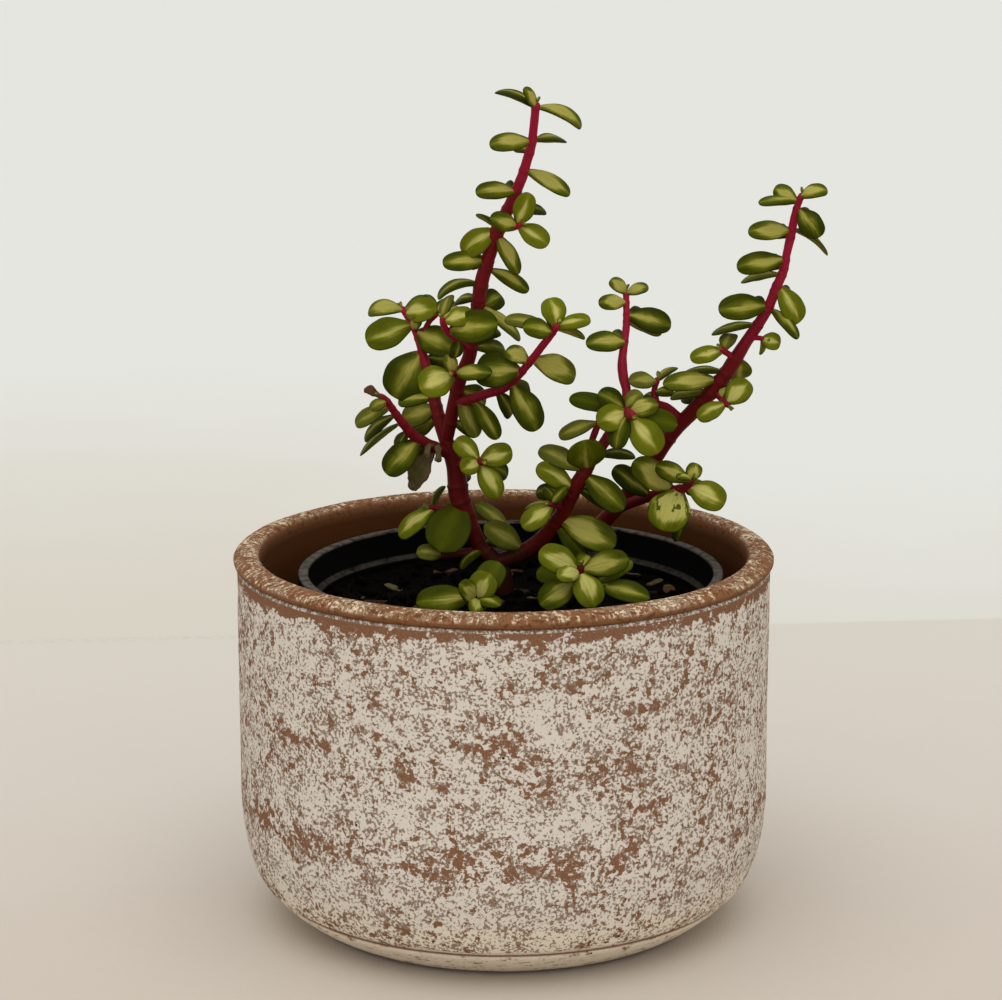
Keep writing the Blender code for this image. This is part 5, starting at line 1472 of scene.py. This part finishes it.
@dataclass
class NurseryPot:
    """The thin plastic pot inside, with a step, a turned-out lip and drain holes."""
    across: float = 2.0
    lip_radius: float = 60.0
    lip_width: float = 3.0
    lip_height: float = 100.0
    lip_depth: float = 3.2
    step_radius: float = 54.6
    step_height: float = 91.6
    foot_radius: float = 44.0
    wall: float = 1.2
    base: float = 8.3
    drains: int = 6
    drain_radius: float = 1.8
    drain_ring: float = 30.0
    drain_sides: int = 24
    drill_height: float = 8.0
    drill_depth: float = 6.0
    crisp_angle: float = 50.0
    steps: int = 160

    def inner_radius(self, height: float) -> float:
        """Inner radius at a height under the step."""
        low = self.foot_radius - self.wall
        return low + (self.step_radius - low) * (height - self.base) / (self.step_height - self.base)

    def outline(self) -> list[Point]:
        """Outline of the pot, from the middle of its floor, over the lip, to its underside.

        Returns:
            (radius, height) points.
        """
        inner = self.lip_radius - self.lip_width
        top, step, under = self.lip_height, self.step_height, self.lip_height - self.lip_depth
        floor = self.base + self.wall
        lip = arc((inner + 0.8, top - 0.8), (0.8, 0.8), 180.0, 90.0, 4)
        lip += arc((self.lip_radius - 0.7, top - 0.7), (0.7, 0.7), 90.0, 0.0, 4)
        ledge = eased([
            (self.inner_radius(step - 2.0), step - 2.0), (self.step_radius - 0.15, step - 0.5),
            (self.step_radius + 0.35, step + 0.15), (inner - 1.3, step + 0.4), (inner - 0.85, step + 1.0),
        ], 3)
        return [
            (0.0, floor), (self.inner_radius(floor), floor), *ledge, *lip, (self.lip_radius, under),
            (inner + self.wall, under), (inner + self.wall - 0.8, step - 1.0),
            (self.step_radius + self.wall, step - 1.6),
            (self.foot_radius + 0.4, self.base + 1.0), (self.foot_radius - 0.6, self.base),
            (0.0, self.base),
        ]

    def build(self) -> Piece:
        """Turn the pot and drill its drains.

        Returns:
            The pot.
        """
        pot = turned("nursery_pot_turned", self.outline(), self.steps, self.across)
        drills = []
        for number in range(self.drains):
            angle = math.tau * number / self.drains
            x = self.across + self.drain_ring * math.cos(angle)
            y = self.drain_ring * math.sin(angle)
            bpy.ops.mesh.primitive_cylinder_add(
                vertices=self.drain_sides, radius=self.drain_radius * MM, depth=self.drill_depth * MM,
                location=Vector((x, y, self.drill_height)) * MM)
            drills.append(Bench.added(f"drill_{number}"))
        drill = Bench.join("drill", drills)
        Bench.modify(pot, "BOOLEAN", operation="DIFFERENCE", object=drill)
        Bench.discard(drill)
        Bench.pick(pot)
        bpy.ops.object.shade_smooth_by_angle(angle=math.radians(self.crisp_angle))
        return pot


@dataclass
class SoilBed:
    """The soil in the nursery pot, with crumbs and bark bits lying on it."""
    pot: NurseryPot
    height: float = 88.6
    wave: float = 1.1
    # Clods and grain of its top: lump size and depth, and how far from the wall they are whole
    clods: Point = (7.0, 2.2)
    grain: Point = (2.2, 1.3)
    settled: float = 3.0
    floor: float = 10.1
    rings: int = 46
    steps: int = 200
    # Crumbs: how many, their least size and how much more it may be, and their other sides as shares of it
    crumbs: int = 620
    crumb_least: float = 0.8
    crumb_more: float = 3.0
    crumb_depths: Point = (0.7, 1.0)
    crumb_heights: Point = (0.6, 0.9)
    # Bark bits: how many, and the ranges of their length, width as a share of it, and thickness
    bits: int = 46
    bit_lengths: Point = (2.0, 6.0)
    bit_widths: Point = (0.25, 0.55)
    bit_heights: Point = (0.5, 1.0)
    # How both lie: the most tilt in radians, and in their own sizes, how far off the wall and how high
    tilt: float = 0.4
    margin: float = 0.6
    stand: float = 0.25
    draw: random.Random = field(default_factory=lambda: random.Random(31))

    def rise(self, x: float, y: float) -> float:
        """Height of the uneven surface over its mean.

        Args:
            x: Place across, in millimetres.
            y: Place from front to back.

        Returns:
            The height, in millimetres.
        """
        waves = (math.sin(0.17 * x + 0.6) * math.cos(0.13 * y - 0.4)
                 + 0.6 * math.sin(0.31 * x - 0.23 * y + 1.7))
        edge = (math.hypot(x, y) / self.pot.step_radius) ** 4
        return self.wave * (0.6 * waves + 0.9 * edge)

    def build_bed(self) -> Piece:
        """Turn the bed and give its top the waves and clods of settled soil.

        Returns:
            The bed.
        """
        reach = self.pot.inner_radius(self.height) + 0.1
        top = [(reach * ring / self.rings, self.height) for ring in range(self.rings + 1)]
        outline = top + [(self.pot.inner_radius(self.floor) - 0.1, self.floor), (0.0, self.floor)]
        bed = turned("soil_bed", outline, self.steps)
        group = bed.vertex_groups.new(name="top")
        for vert in bed.data.vertices:
            if vert.co.z > (self.height - 1.0) * MM:
                vert.co.z += self.rise(vert.co.x / MM, vert.co.y / MM) * MM
                inward = (reach - math.hypot(vert.co.x, vert.co.y) / MM) / self.settled
                group.add([vert.index], clamped(inward), "REPLACE")
        Bench.roughen(bed, *self.clods, vertex_group=group.name, direction="Z")
        Bench.roughen(bed, *self.grain, vertex_group=group.name, direction="Z")
        bed.location.x = self.pot.across * MM
        Bench.settle(bed)
        return Bench.smooth(bed)

    def spot(self, bed: Piece, reach: float) -> Vector:
        """A drawn place on top of the bed, in metres.

        Args:
            bed: The soil bed.
            reach: How far from its middle the place may be.

        Returns:
            The place.
        """
        angle = self.draw.uniform(0.0, math.tau)
        radius = reach * math.sqrt(self.draw.random())
        start = Vector((self.pot.across + radius * math.cos(angle), radius * math.sin(angle), ABOVE)) * MM
        return bed.ray_cast(start, Vector((0.0, 0.0, -1.0)))[1]

    def strew(self, bed: Piece, master: Piece, name: str, count: int,
              sizes: Callable[[], Vector]) -> Piece:
        """Lay copies of a crumb or bit on the bed, each turned and sized by its own draw.

        Args:
            bed: The soil bed.
            master: The shape that is copied, about a unit across.
            name: The joined piece's name.
            count: How many there are.
            sizes: Draws one copy's size, in millimetres.

        Returns:
            The joined piece.
        """
        copies = []
        for number in range(count):
            size = sizes()
            made = Bench.copy(master, f"{name}_{number}")
            turn = Matrix.Rotation(self.draw.uniform(0.0, math.tau), 4, "Z")
            tilt = Matrix.Rotation(self.draw.uniform(-self.tilt, self.tilt), 4, "X")
            made.data.transform(turn @ tilt @ Matrix.Diagonal((*(size * MM), 1.0)))
            place = self.spot(bed, self.pot.inner_radius(self.height) - size.x * self.margin)
            made.location = place + Vector((0.0, 0.0, size.z * self.stand * MM))
            copies.append(made)
        Bench.discard(master)
        return Bench.join(name, copies)

    def build_crumbs(self, bed: Piece) -> Piece:
        """Crumbs of soil, from one lump.

        Args:
            bed: The soil bed.

        Returns:
            The crumbs, joined.
        """
        bpy.ops.mesh.primitive_ico_sphere_add(subdivisions=2, radius=0.5)
        lump = Bench.added("lump")
        with Bench.editing(lump):
            bpy.ops.transform.vertex_random(offset=0.12, uniform=0.6, seed=4)
        return self.strew(bed, lump, "soil_crumbs", self.crumbs, self.crumb_size)

    def crumb_size(self) -> Vector:
        """Draw a crumb's size: most are small.

        Returns:
            The size.
        """
        size = self.crumb_least + self.crumb_more * self.draw.random() ** 3
        depth = size * self.draw.uniform(*self.crumb_depths)
        return Vector((size, depth, size * self.draw.uniform(*self.crumb_heights)))

    def build_bits(self, bed: Piece) -> Piece:
        """Flat bits of bark and fibre, from one rough slip.

        Args:
            bed: The soil bed.

        Returns:
            The bits, joined.
        """
        bpy.ops.mesh.primitive_cube_add(size=1.0)
        slip = Bench.added("slip")
        with Bench.editing(slip):
            bpy.ops.mesh.subdivide(number_cuts=1)
            bpy.ops.transform.vertex_random(offset=0.16, uniform=0.7, seed=9)
        return self.strew(bed, slip, "bark_bits", self.bits, self.bit_size)

    def bit_size(self) -> Vector:
        """Draw a bark bit's size: long and flat.

        Returns:
            The size.
        """
        length = self.draw.uniform(*self.bit_lengths)
        width = length * self.draw.uniform(*self.bit_widths)
        return Vector((length, width, self.draw.uniform(*self.bit_heights)))


def seen(x: float, z: float, back: float) -> Vector:
    """Place that looks to be at (x, z) on the pot's middle plane and lies back behind it."""
    reach = (back - EYE.y) / -EYE.y
    return EYE + (Vector((x, 0.0, z)) - EYE) * reach


def foot_place(joints: list[Joint], leaf: Leaf) -> Vector:
    """Where a leaf's foot sits inside its stem: the place nearest to it on the middle line.

    Args:
        joints: The stem's joints.
        leaf: The leaf.

    Returns:
        The foot's place, FOOT_SINK or more short of the stem's tip.
    """
    spot = Vector((leaf.foot_x, leaf.foot_z))
    nearest: Optional[tuple[float, Vector, float, float]] = None
    for low, high in zip(joints, joints[1:]):
        start = Vector((low.x, low.z))
        run = Vector((high.x, high.z)) - start
        most = 1.0 - FOOT_SINK / run.length if high is joints[-1] else 1.0
        along = clamped((spot - start).dot(run) / run.length_squared, high=most)
        middle = start + run * along
        off = (spot - middle).length
        if nearest is None or off < nearest[0]:
            back = low.back + (high.back - low.back) * along
            radius = low.radius + (high.radius - low.radius) * along
            nearest = (off, middle, back, radius)
    off, middle, back, radius = nearest
    pull = min(1.0, FOOT_OFF * radius / off) if off > 0.0 else 0.0
    place = middle + (spot - middle) * pull
    return seen(place.x, place.y, back)


def basis(along: Vector, normal: Vector) -> Matrix:
    """The turn that points a leaf along one way with its face to another."""
    return Matrix((normal.cross(along), normal, along)).transposed().to_4x4()


class Reading(NamedTuple):
    """The middle line at one place: where it is, the radius, how far along, and its state."""
    place: Vector
    radius: float
    state: tuple[float, float, float]


@dataclass
class StemLine:
    """A branch's smooth middle line, thickened at its nodes and where it springs from."""
    branch: Branch
    twig: bool
    pitch: float = 0.5
    knot_swell: float = 0.09
    knot_reach: float = 0.55
    waist: float = 0.05
    waist_reach: float = 2.2
    collar_swell: float = 0.28
    collar_reach: float = 1.3
    # Leaf pairs nearer than this share a knot
    knot_gap: float = 1.0
    # Radius of the youngest wood and how much more the ripe has, height under which bark starts, its fade
    youngest: float = 0.9
    ripening: float = 1.6
    bark_height: float = 118.0
    bark_fade: float = 26.0
    # The round tip: angles of its rings, and its length as a share of the radius
    tip_angles: tuple[float, ...] = (25.0, 48.0, 68.0, 84.0)
    tip_length: float = 0.8
    bevel_resolution: int = 5

    def path(self) -> list[tuple[Vector, float]]:
        """Places and radii along a smooth curve through the joints.

        Returns:
            The places and radii, in order.
        """
        joints = self.branch.joints
        spots = [Vector((*seen(joint.x, joint.z, joint.back), joint.radius)) for joint in joints]
        line = []
        for run in runs(spots):
            count = max(1, round((run[2] - run[1]).xyz.length / self.pitch))
            line += [between(run, step / count) for step in range(count)]
        return [(spot.xyz, spot.w) for spot in [*line, spots[-1]]]

    def knots(self, path: list[tuple[Vector, float]]) -> list[float]:
        """How far along the path each pair of leaves stands.

        Args:
            path: The middle line's places and radii.

        Returns:
            The distances, in millimetres.
        """
        run = [0.0]
        for (low, _), (high, _) in zip(path, path[1:]):
            run.append(run[-1] + (high - low).length)
        knots: list[float] = []
        for leaf in self.branch.leaves:
            foot = foot_place(self.branch.joints, leaf)
            nearest = min(range(len(path)), key=lambda index: (path[index][0] - foot).length)
            if all(abs(run[nearest] - knot) > self.knot_gap for knot in knots):
                knots.append(run[nearest])
        return knots

    def readings(self) -> list[Reading]:
        """The whole line, with a ring and a waist above it at each knot, and a round tip.

        Returns:
            The readings, from foot to tip.
        """
        path = self.path()
        knots = self.knots(path)
        line = []
        run = 0.0
        for index, (place, radius) in enumerate(path):
            run += (place - path[index - 1][0]).length if index else 0.0
            ring = max((math.exp(-(((run - knot) / self.knot_reach) ** 2)) for knot in knots),
                       default=0.0)
            waist = max((math.exp((knot - run) / self.waist_reach) for knot in knots if run > knot),
                        default=0.0)
            collar = math.exp(-((run / self.collar_reach) ** 2)) if self.twig else 0.0
            swell = 1.0 + self.knot_swell * ring - self.waist * waist + self.collar_swell * collar
            age = clamped((radius - self.youngest) / self.ripening)
            woody = clamped((self.bark_height - place.z) / self.bark_fade)
            line.append(Reading(place, radius * swell, (age, ring, woody)))
        return line + self.tip(line[-2], line[-1])

    def tip(self, last: Reading, end: Reading) -> list[Reading]:
        """Readings that round the line off beyond its end.

        Args:
            last: The reading before the end.
            end: The reading at the end.

        Returns:
            The readings beyond it.
        """
        heading = (end.place - last.place).normalized()
        rounded = []
        for angle in self.tip_angles:
            reach = end.radius * self.tip_length * math.sin(math.radians(angle))
            thin = end.radius * math.cos(math.radians(angle))
            rounded.append(Reading(end.place + heading * reach, thin, end.state))
        return rounded

    def build(self, name: str) -> Piece:
        """Lay a round bar along the line.

        Args:
            name: The piece's name.

        Returns:
            The bar, a closed mesh that holds the line's state at each vertex.
        """
        readings = self.readings()
        bpy.ops.curve.primitive_bezier_curve_add()
        rail = Bench.added(name)
        curve = rail.data
        curve.splines.clear()
        curve.dimensions = "3D"
        curve.bevel_depth = MM
        curve.bevel_resolution = self.bevel_resolution
        curve.use_fill_caps = True
        spline = curve.splines.new("POLY")
        spline.points.add(len(readings) - 1)
        for point, reading in zip(spline.points, readings):
            point.co = (*(reading.place * MM), 1.0)
            point.radius = reading.radius
        Bench.pick(rail)
        bpy.ops.object.convert(target="MESH")
        bar = bpy.context.view_layer.objects.active
        Bench.close(bar)
        tree = KDTree(len(readings))
        for index, reading in enumerate(readings):
            tree.insert(reading.place * MM, index)
        tree.balance()
        state = bar.data.attributes.new("stem_state", "FLOAT_VECTOR", "POINT")
        for vert in bar.data.vertices:
            state.data[vert.index].vector = readings[tree.find(vert.co)[1]].state
        return bar


@dataclass
class LeafMould:
    """The leaf that all others are copied from: a unit long, wide and thick, foot at the origin."""
    segments: int = 14
    rings: int = 12
    foot_narrower: float = 0.60
    tip_wider: float = 1.03
    widest: float = 0.54
    foot_thicker: float = 1.30
    blunt: float = 0.28
    # How near to a ring's height its vertices are, and the least half width at the ends
    near: float = 0.001
    least: float = 1e-4

    def swell(self, along: float) -> float:
        """How much wider than a ball's the leaf's outline is at a share of its length.

        Args:
            along: The share of its length.

        Returns:
            The factor.
        """
        share = min(1.0, along / self.widest)
        past = max(0.0, along - self.widest) / (1.0 - self.widest)
        wider = self.tip_wider - self.foot_narrower
        wide = self.foot_narrower + wider * share * share * (3.0 - 2.0 * share)
        return wide * (1.0 + self.blunt * past * past)

    def bulge(self, along: float) -> float:
        """How much thicker than a ball the leaf is at a share of its length."""
        return self.foot_thicker + (1.0 - self.foot_thicker) * along

    def build(self) -> Piece:
        """Shape a ball, ring by ring, into an obovate leaf on a narrow foot.

        Returns:
            The mould.
        """
        bpy.ops.mesh.primitive_uv_sphere_add(segments=self.segments, ring_count=self.rings, radius=0.5,
                                             location=(0.0, 0.0, 0.5))
        leaf = Bench.added("leaf_mould")
        Bench.settle(leaf)
        for ring in range(1, self.rings):
            height = 0.5 - 0.5 * math.cos(math.pi * ring / self.rings)
            with Bench.editing(leaf, "DESELECT"):
                Bench.select(leaf, lambda place: abs(place.z - height) < self.near)
                bpy.ops.transform.resize(value=(self.swell(height), self.bulge(height), 1.0),
                                         center_override=(0.0, 0.0, height))
        Bench.modify(leaf, "SUBSURF", levels=1, render_levels=1)
        place = leaf.data.attributes.new("leaf_place", "FLOAT_VECTOR", "POINT")
        for vert in leaf.data.vertices:
            along = clamped(vert.co.z)
            ball = max(self.least, 0.5 * math.sqrt(max(0.0, 1.0 - (2.0 * along - 1.0) ** 2)))
            wide = ball * self.swell(along)
            thick = ball * self.bulge(along)
            angle = math.atan2(vert.co.y / thick, vert.co.x / wide)
            place.data[vert.index].vector = (math.cos(angle), along, math.sin(angle))
        return Bench.smooth(leaf)


@dataclass
class LeafyStem:
    """A stem, its twigs and all their leaves."""
    node: str
    branches: list[Branch]
    mould: Piece
    draw: random.Random
    thickness: float = 1.5
    # How strongly leaves are cupped, twisted (in degrees) and swept back along their length
    cup: float = 0.5
    cup_range: Point = (0.6, 1.5)
    twist_range: Point = (-14.0, 14.0)
    sweep: float = 8.0
    sweep_range: Point = (0.1, 1.6)
    # How much weaker or stronger a leaf's stripe and green may be than its kind's
    tint_range: Point = (0.85, 1.15)
    # Unevenness: lump size and depth
    bark_grain: Point = (2.4, 0.16)
    leaf_waver: Point = (5.0, 0.35)
    crumple: Point = (5.0, 2.6)
    crumple_grain: Point = (1.6, 1.2)
    # Opening leaves at a tip: how far they stand open (in degrees), their length, width and thickness
    bud_leaves: int = 2
    bud_spread: Point = (14.0, 30.0)
    bud_length: Point = (1.3, 1.9)
    bud_width: float = 0.75
    bud_thickness: float = 0.8
    bud_arch: float = 0.25
    # In stem radii: how far past the tip their feet are, and how much longer they are for it
    bud_start: float = 0.4
    bud_longer: float = 0.5

    def build_stems(self) -> Piece:
        """The stem and its twigs, joined.

        Returns:
            The joined stems.
        """
        bars = []
        for number, branch in enumerate(self.branches):
            bars.append(StemLine(branch, number > 0).build(f"{self.node}_bar_{number}"))
        stems = Bench.join(f"{self.node}_stems", bars)
        Bench.roughen(stems, *self.bark_grain)
        return Bench.smooth(stems)

    def build_leaves(self, withered: bool = False) -> Optional[Piece]:
        """The leaves, joined.

        Args:
            withered: Whether the withered ones are wanted, or the others.

        Returns:
            The joined leaves, or None where there are none of that kind.
        """
        blades = []
        for number, branch in enumerate(self.branches):
            for count, leaf in enumerate(branch.leaves):
                if (leaf.tone is Tone.WITHERED) == withered:
                    blades.append(self.blade(f"{self.node}_blade_{number}_{count}", branch.joints, leaf))
            if branch.leaves and not withered:
                blades += self.bud(f"{self.node}_bud_{number}", branch.joints)
        if not blades:
            return None
        Bench.pick(*blades)
        bpy.ops.object.convert(target="MESH")
        leaves = Bench.join(f"{self.node}_withered" if withered else f"{self.node}_leaves", blades)
        for lumps in (self.crumple, self.crumple_grain) if withered else (self.leaf_waver,):
            Bench.roughen(leaves, *lumps)
        return leaves

    def blade(self, name: str, joints: list[Joint], leaf: Leaf) -> Piece:
        """Set a leaf on its stem.

        Args:
            name: The blade's name.
            joints: Its stem's joints.
            leaf: The leaf.

        Returns:
            The blade, with its bends as modifiers.
        """
        foot = foot_place(joints, leaf)
        tip = seen(leaf.tip_x, leaf.tip_z, foot.y + leaf.lean)
        along = (tip - foot).normalized()
        to_eye = (EYE - foot).normalized()
        face = (to_eye - along * to_eye.dot(along)).normalized()
        side = along.cross(face)
        if side.z + 0.2 * side.x < 0.0:
            side.negate()
        turn = math.radians(leaf.roll)
        normal = face * math.cos(turn) + side * math.sin(turn)
        size = Vector((leaf.width, self.thickness, (tip - foot).length))
        place = Matrix.Translation(foot) @ basis(along, normal)
        return self.shaped(name, place, size, leaf.arch, leaf.tone.value)

    def bud(self, name: str, joints: list[Joint]) -> list[Piece]:
        """The smallest leaves, which a growing tip opens with.

        Args:
            name: The buds' name.
            joints: Their stem's joints.

        Returns:
            The small blades.
        """
        last = joints[-1]
        before = joints[-2]
        end = seen(last.x, last.z, last.back)
        heading = (end - seen(before.x, before.z, before.back)).normalized()
        across = heading.orthogonal().normalized()
        start = self.draw.uniform(0.0, math.tau)
        blades = []
        for number in range(self.bud_leaves):
            out = Matrix.Rotation(start + number * math.tau / self.bud_leaves, 3, heading) @ across
            spread = math.radians(self.draw.uniform(*self.bud_spread))
            along = heading * math.cos(spread) + out * math.sin(spread)
            normal = heading * math.sin(spread) - out * math.cos(spread)
            length = self.draw.uniform(*self.bud_length)
            long = length + last.radius * self.bud_longer
            size = Vector((length * self.bud_width, self.bud_thickness, long))
            foot = end + heading * last.radius * self.bud_start
            place = Matrix.Translation(foot) @ basis(along, normal)
            blades.append(self.shaped(f"{name}_{number}", place, size, self.bud_arch, Tone.BUD.value))
        return blades

    def shaped(self, name: str, place: Matrix, size: Vector, arch: float, shade: Shade) -> Piece:
        """Copy the mould and give the copy its size, bends and colouring.

        Args:
            name: The blade's name.
            place: Where its foot is and which way it points.
            size: Its width, thickness and length.
            arch: How far its middle stands up.
            shade: Its colouring.

        Returns:
            The blade, with its bends as modifiers.
        """
        made = Bench.copy(self.mould, name)
        made.data.transform(Matrix.Diagonal((*(size * MM), 1.0)))
        self.tint(made, shade)
        self.bend(made, "Z", self.cup * self.draw.uniform(*self.cup_range))
        self.bend(made, "Z", math.radians(self.draw.uniform(*self.twist_range)), "TWIST")
        sweep = clamped(self.sweep * arch / size.z, *self.sweep_range)
        self.bend(made, "X", -sweep)
        end = Vector((0.0, -(1.0 - math.cos(sweep)) / sweep, math.sin(sweep) / sweep))
        straight = Matrix.Rotation(math.atan2(end.y, end.z), 4, "X") @ Matrix.Scale(1.0 / end.length, 4)
        made.matrix_world = Matrix.Translation(place.translation * MM) @ place.to_3x3().to_4x4() @ straight
        return made

    @staticmethod
    def bend(piece: Piece, axis: str, angle: float, method: str = "BEND") -> None:
        """Add a bend or twist to a piece.

        Args:
            piece: The piece.
            axis: The axis it turns about.
            angle: How far, in radians.
            method: BEND or TWIST.
        """
        added = piece.modifiers.new(method.lower(), "SIMPLE_DEFORM")
        added.deform_method = method
        added.deform_axis = axis
        added.angle = angle

    def tint(self, piece: Piece, shade: Shade) -> None:
        """Write a leaf's colouring on its vertices, a little different from leaf to leaf.

        Args:
            piece: The leaf.
            shade: The colouring of its kind.
        """
        cream = shade.cream * self.draw.uniform(*self.tint_range)
        dark = min(1.0, shade.dark * self.draw.uniform(*self.tint_range))
        rows = {
            "leaf_tone": (cream, dark, self.draw.random()),
            "leaf_state": (shade.young, shade.pale, shade.mottled),
        }
        for name, row in rows.items():
            told = piece.data.attributes.new(name, "FLOAT_VECTOR", "POINT")
            told.data.foreach_set("vector", row * len(piece.data.vertices))


@dataclass
class FallenLeaves:
    """Dry leaves that lie on the soil."""
    rows: list[Fallen]
    mould: Piece
    thickness: float = 1.1
    lift: float = 0.35
    cup: float = 0.9
    curl: float = 0.5
    crumple: Point = (2.5, 0.9)

    def build(self, bed: Piece) -> list[Piece]:
        """Lay each leaf on the bed, one piece to a leaf.

        Args:
            bed: The soil bed.

        Returns:
            The leaves.
        """
        leaves = []
        for number, row in enumerate(self.rows):
            made = Bench.copy(self.mould, f"dry_leaf_{number + 1}")
            size = (row.width * MM, self.thickness * MM, row.length * MM, 1.0)
            made.data.transform(Matrix.Diagonal(size))
            LeafyStem.bend(made, "Z", self.cup)
            LeafyStem.bend(made, "X", self.curl)
            turn = math.radians(row.turn)
            axis = Vector((math.cos(turn), math.sin(turn), 0.0))
            up = Vector((0.0, 0.0, 1.0))
            foot = Vector((row.x, row.y, ABOVE)) - axis * row.length / 2.0
            ground = bed.ray_cast(foot * MM, -up)[1]
            made.matrix_world = Matrix.Translation(ground + up * self.lift * MM) @ basis(axis, up)
            Bench.pick(made)
            bpy.ops.object.convert(target="MESH")
            Bench.settle(made)
            Bench.roughen(made, *self.crumple)
            leaves.append(made)
        return leaves


class Sun(NamedTuple):
    """A wide sun: how far to the right and to the back of the zenith it stands, its strength and width."""
    right: float
    back: float
    strength: float
    width: float


@dataclass
class Studio:
    """The plain floor, the soft light and the camera, in metres and degrees."""
    floor_size: float = 16.0
    camera_place: tuple[float, float, float] = (-0.00074, -0.900, 0.33075)
    camera_pitch: float = 0.23
    lens: float = 118.2
    sensor: float = 36.0
    sight: float = 50.0
    room: tuple[float, ...] = (1.0, 0.985, 0.955, 1.0)
    room_strength: float = 0.58
    overhead: Sun = Sun(-2.0, -12.0, 1.34, 66.0)
    front: Sun = Sun(2.0, -70.0, 0.62, 80.0)

    def build_floor(self) -> Piece:
        """Lay the floor.

        Returns:
            The floor.
        """
        bpy.ops.mesh.primitive_plane_add(size=self.floor_size)
        floor = Bench.added("floor")
        floor.data.materials.append(PaleFloor().material())
        return floor

    def build_camera(self) -> Piece:
        """Set the camera where the photograph was taken from.

        Returns:
            The camera.
        """
        pitch = math.pi / 2.0 - self.camera_pitch
        bpy.ops.object.camera_add(location=self.camera_place, rotation=(pitch, 0.0, 0.0))
        camera = Bench.added("camera")
        camera.data.lens = self.lens
        camera.data.sensor_width = self.sensor
        camera.data.clip_end = self.sight
        bpy.context.scene.camera = camera
        return camera

    def build_lights(self) -> None:
        """Light the room evenly all round, with a wide sun overhead and a weaker one in front."""
        world = bpy.data.worlds.new("soft_room")
        world.use_nodes = True
        back = world.node_tree.nodes["Background"]
        back.inputs["Color"].default_value = self.room
        back.inputs["Strength"].default_value = self.room_strength
        bpy.context.scene.world = world
        self.build_sun("key", self.overhead)
        self.build_sun("front", self.front)

    def build_sun(self, name: str, sun: Sun) -> None:
        """Hang a sun where it stands.

        Args:
            name: Its name.
            sun: The sun.
        """
        right, back = math.radians(sun.right), math.radians(sun.back)
        toward = Vector((math.sin(right), math.sin(back), math.cos(right) * math.cos(back)))
        bpy.ops.object.light_add(type="SUN", location=toward)
        light = Bench.added(name)
        light.rotation_mode = "QUATERNION"
        light.rotation_quaternion = toward.to_track_quat("Z", "Y")
        light.data.energy = sun.strength
        light.data.angle = math.radians(sun.width)

    def build(self) -> None:
        """Build the whole studio, with colours shown as they are."""
        self.build_floor()
        self.build_camera()
        self.build_lights()
        bpy.context.scene.view_settings.view_transform = "Standard"


PLANT: dict[str, list[Branch]] = {
    "trunk": [TRUNK, CROWN_TWIG, LOW_SHOOT, TRUNK_ROSETTE, BASE_SPRIG, DEAD_STUB],
    "tall_stem": [TALL_STEM, TALL_TWIG, SIDE_TWIG, ROUND_TWIG],
    "leaning_shoot": [LEANING_SHOOT],
    "middle_stem": [MIDDLE_STEM, MIDDLE_TWIG, OVAL_TWIG, FORK_TWIG],
    "leaf_cluster": [CLUSTER],
    "thick_stem": [THICK_STEM, FAN_TWIG, NOTCH_TWIG, LOW_TWIG],
    "left_twig": [LEFT_TWIG],
    "low_right_shoot": [LOW_RIGHT_SHOOT],
    "front_right_rosette": [FRONT_RIGHT, FRONT_TWIG],
    "front_left_rosette": [FRONT_LEFT],
}


def build_pots() -> Piece:
    """Build both pots and the soil.

    Returns:
        The soil bed, which things can be laid on.
    """
    pot = ClayPot()
    Bench.dress(pot.build(), SpeckledClay(pot).material(), Slot.CLAY, "clay_pot")
    nursery = NurseryPot()
    Bench.dress(nursery.build(), BlackPlastic().material(), Slot.PLASTIC, "nursery_pot")
    soil = SoilBed(nursery)
    bed = soil.build_bed()
    crumbs = soil.build_crumbs(bed)
    bits = soil.build_bits(bed)
    dark = DarkSoil().material()
    Bench.dress(bed, dark, Slot.SOIL, "soil")
    Bench.dress(crumbs, dark, Slot.SOIL)
    Bench.dress(bits, Bark().material(), Slot.SOIL)
    return bed


def build_plant(bed: Piece) -> None:
    """Build every leafy stem and the fallen leaves.

    Args:
        bed: The soil bed.
    """
    mould = LeafMould().build()
    stem_finish = RedStem().material()
    leaf_finish = VariegatedLeaf().material()
    dry_finish = DryLeaf().material()
    draw = random.Random(7)
    for node, branches in PLANT.items():
        growth = LeafyStem(node, branches, mould, draw)
        Bench.dress(growth.build_stems(), stem_finish, Slot.LEAF, node)
        Bench.dress(growth.build_leaves(), leaf_finish, Slot.LEAF, node)
        withered = growth.build_leaves(withered=True)
        if withered:
            Bench.dress(withered, dry_finish, Slot.DRY, node)
    for number, leaf in enumerate(FallenLeaves(FALLEN_LEAVES, mould).build(bed)):
        Bench.dress(leaf, dry_finish, Slot.DRY, f"fallen_leaf_{number + 1}")
    Bench.discard(mould)


def main() -> None:
    """Build the object and its studio."""
    logging.basicConfig(level=logging.INFO, format="%(message)s")
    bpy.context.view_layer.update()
    Studio().build()
    build_plant(build_pots())


if __name__ == "__main__":
    main()
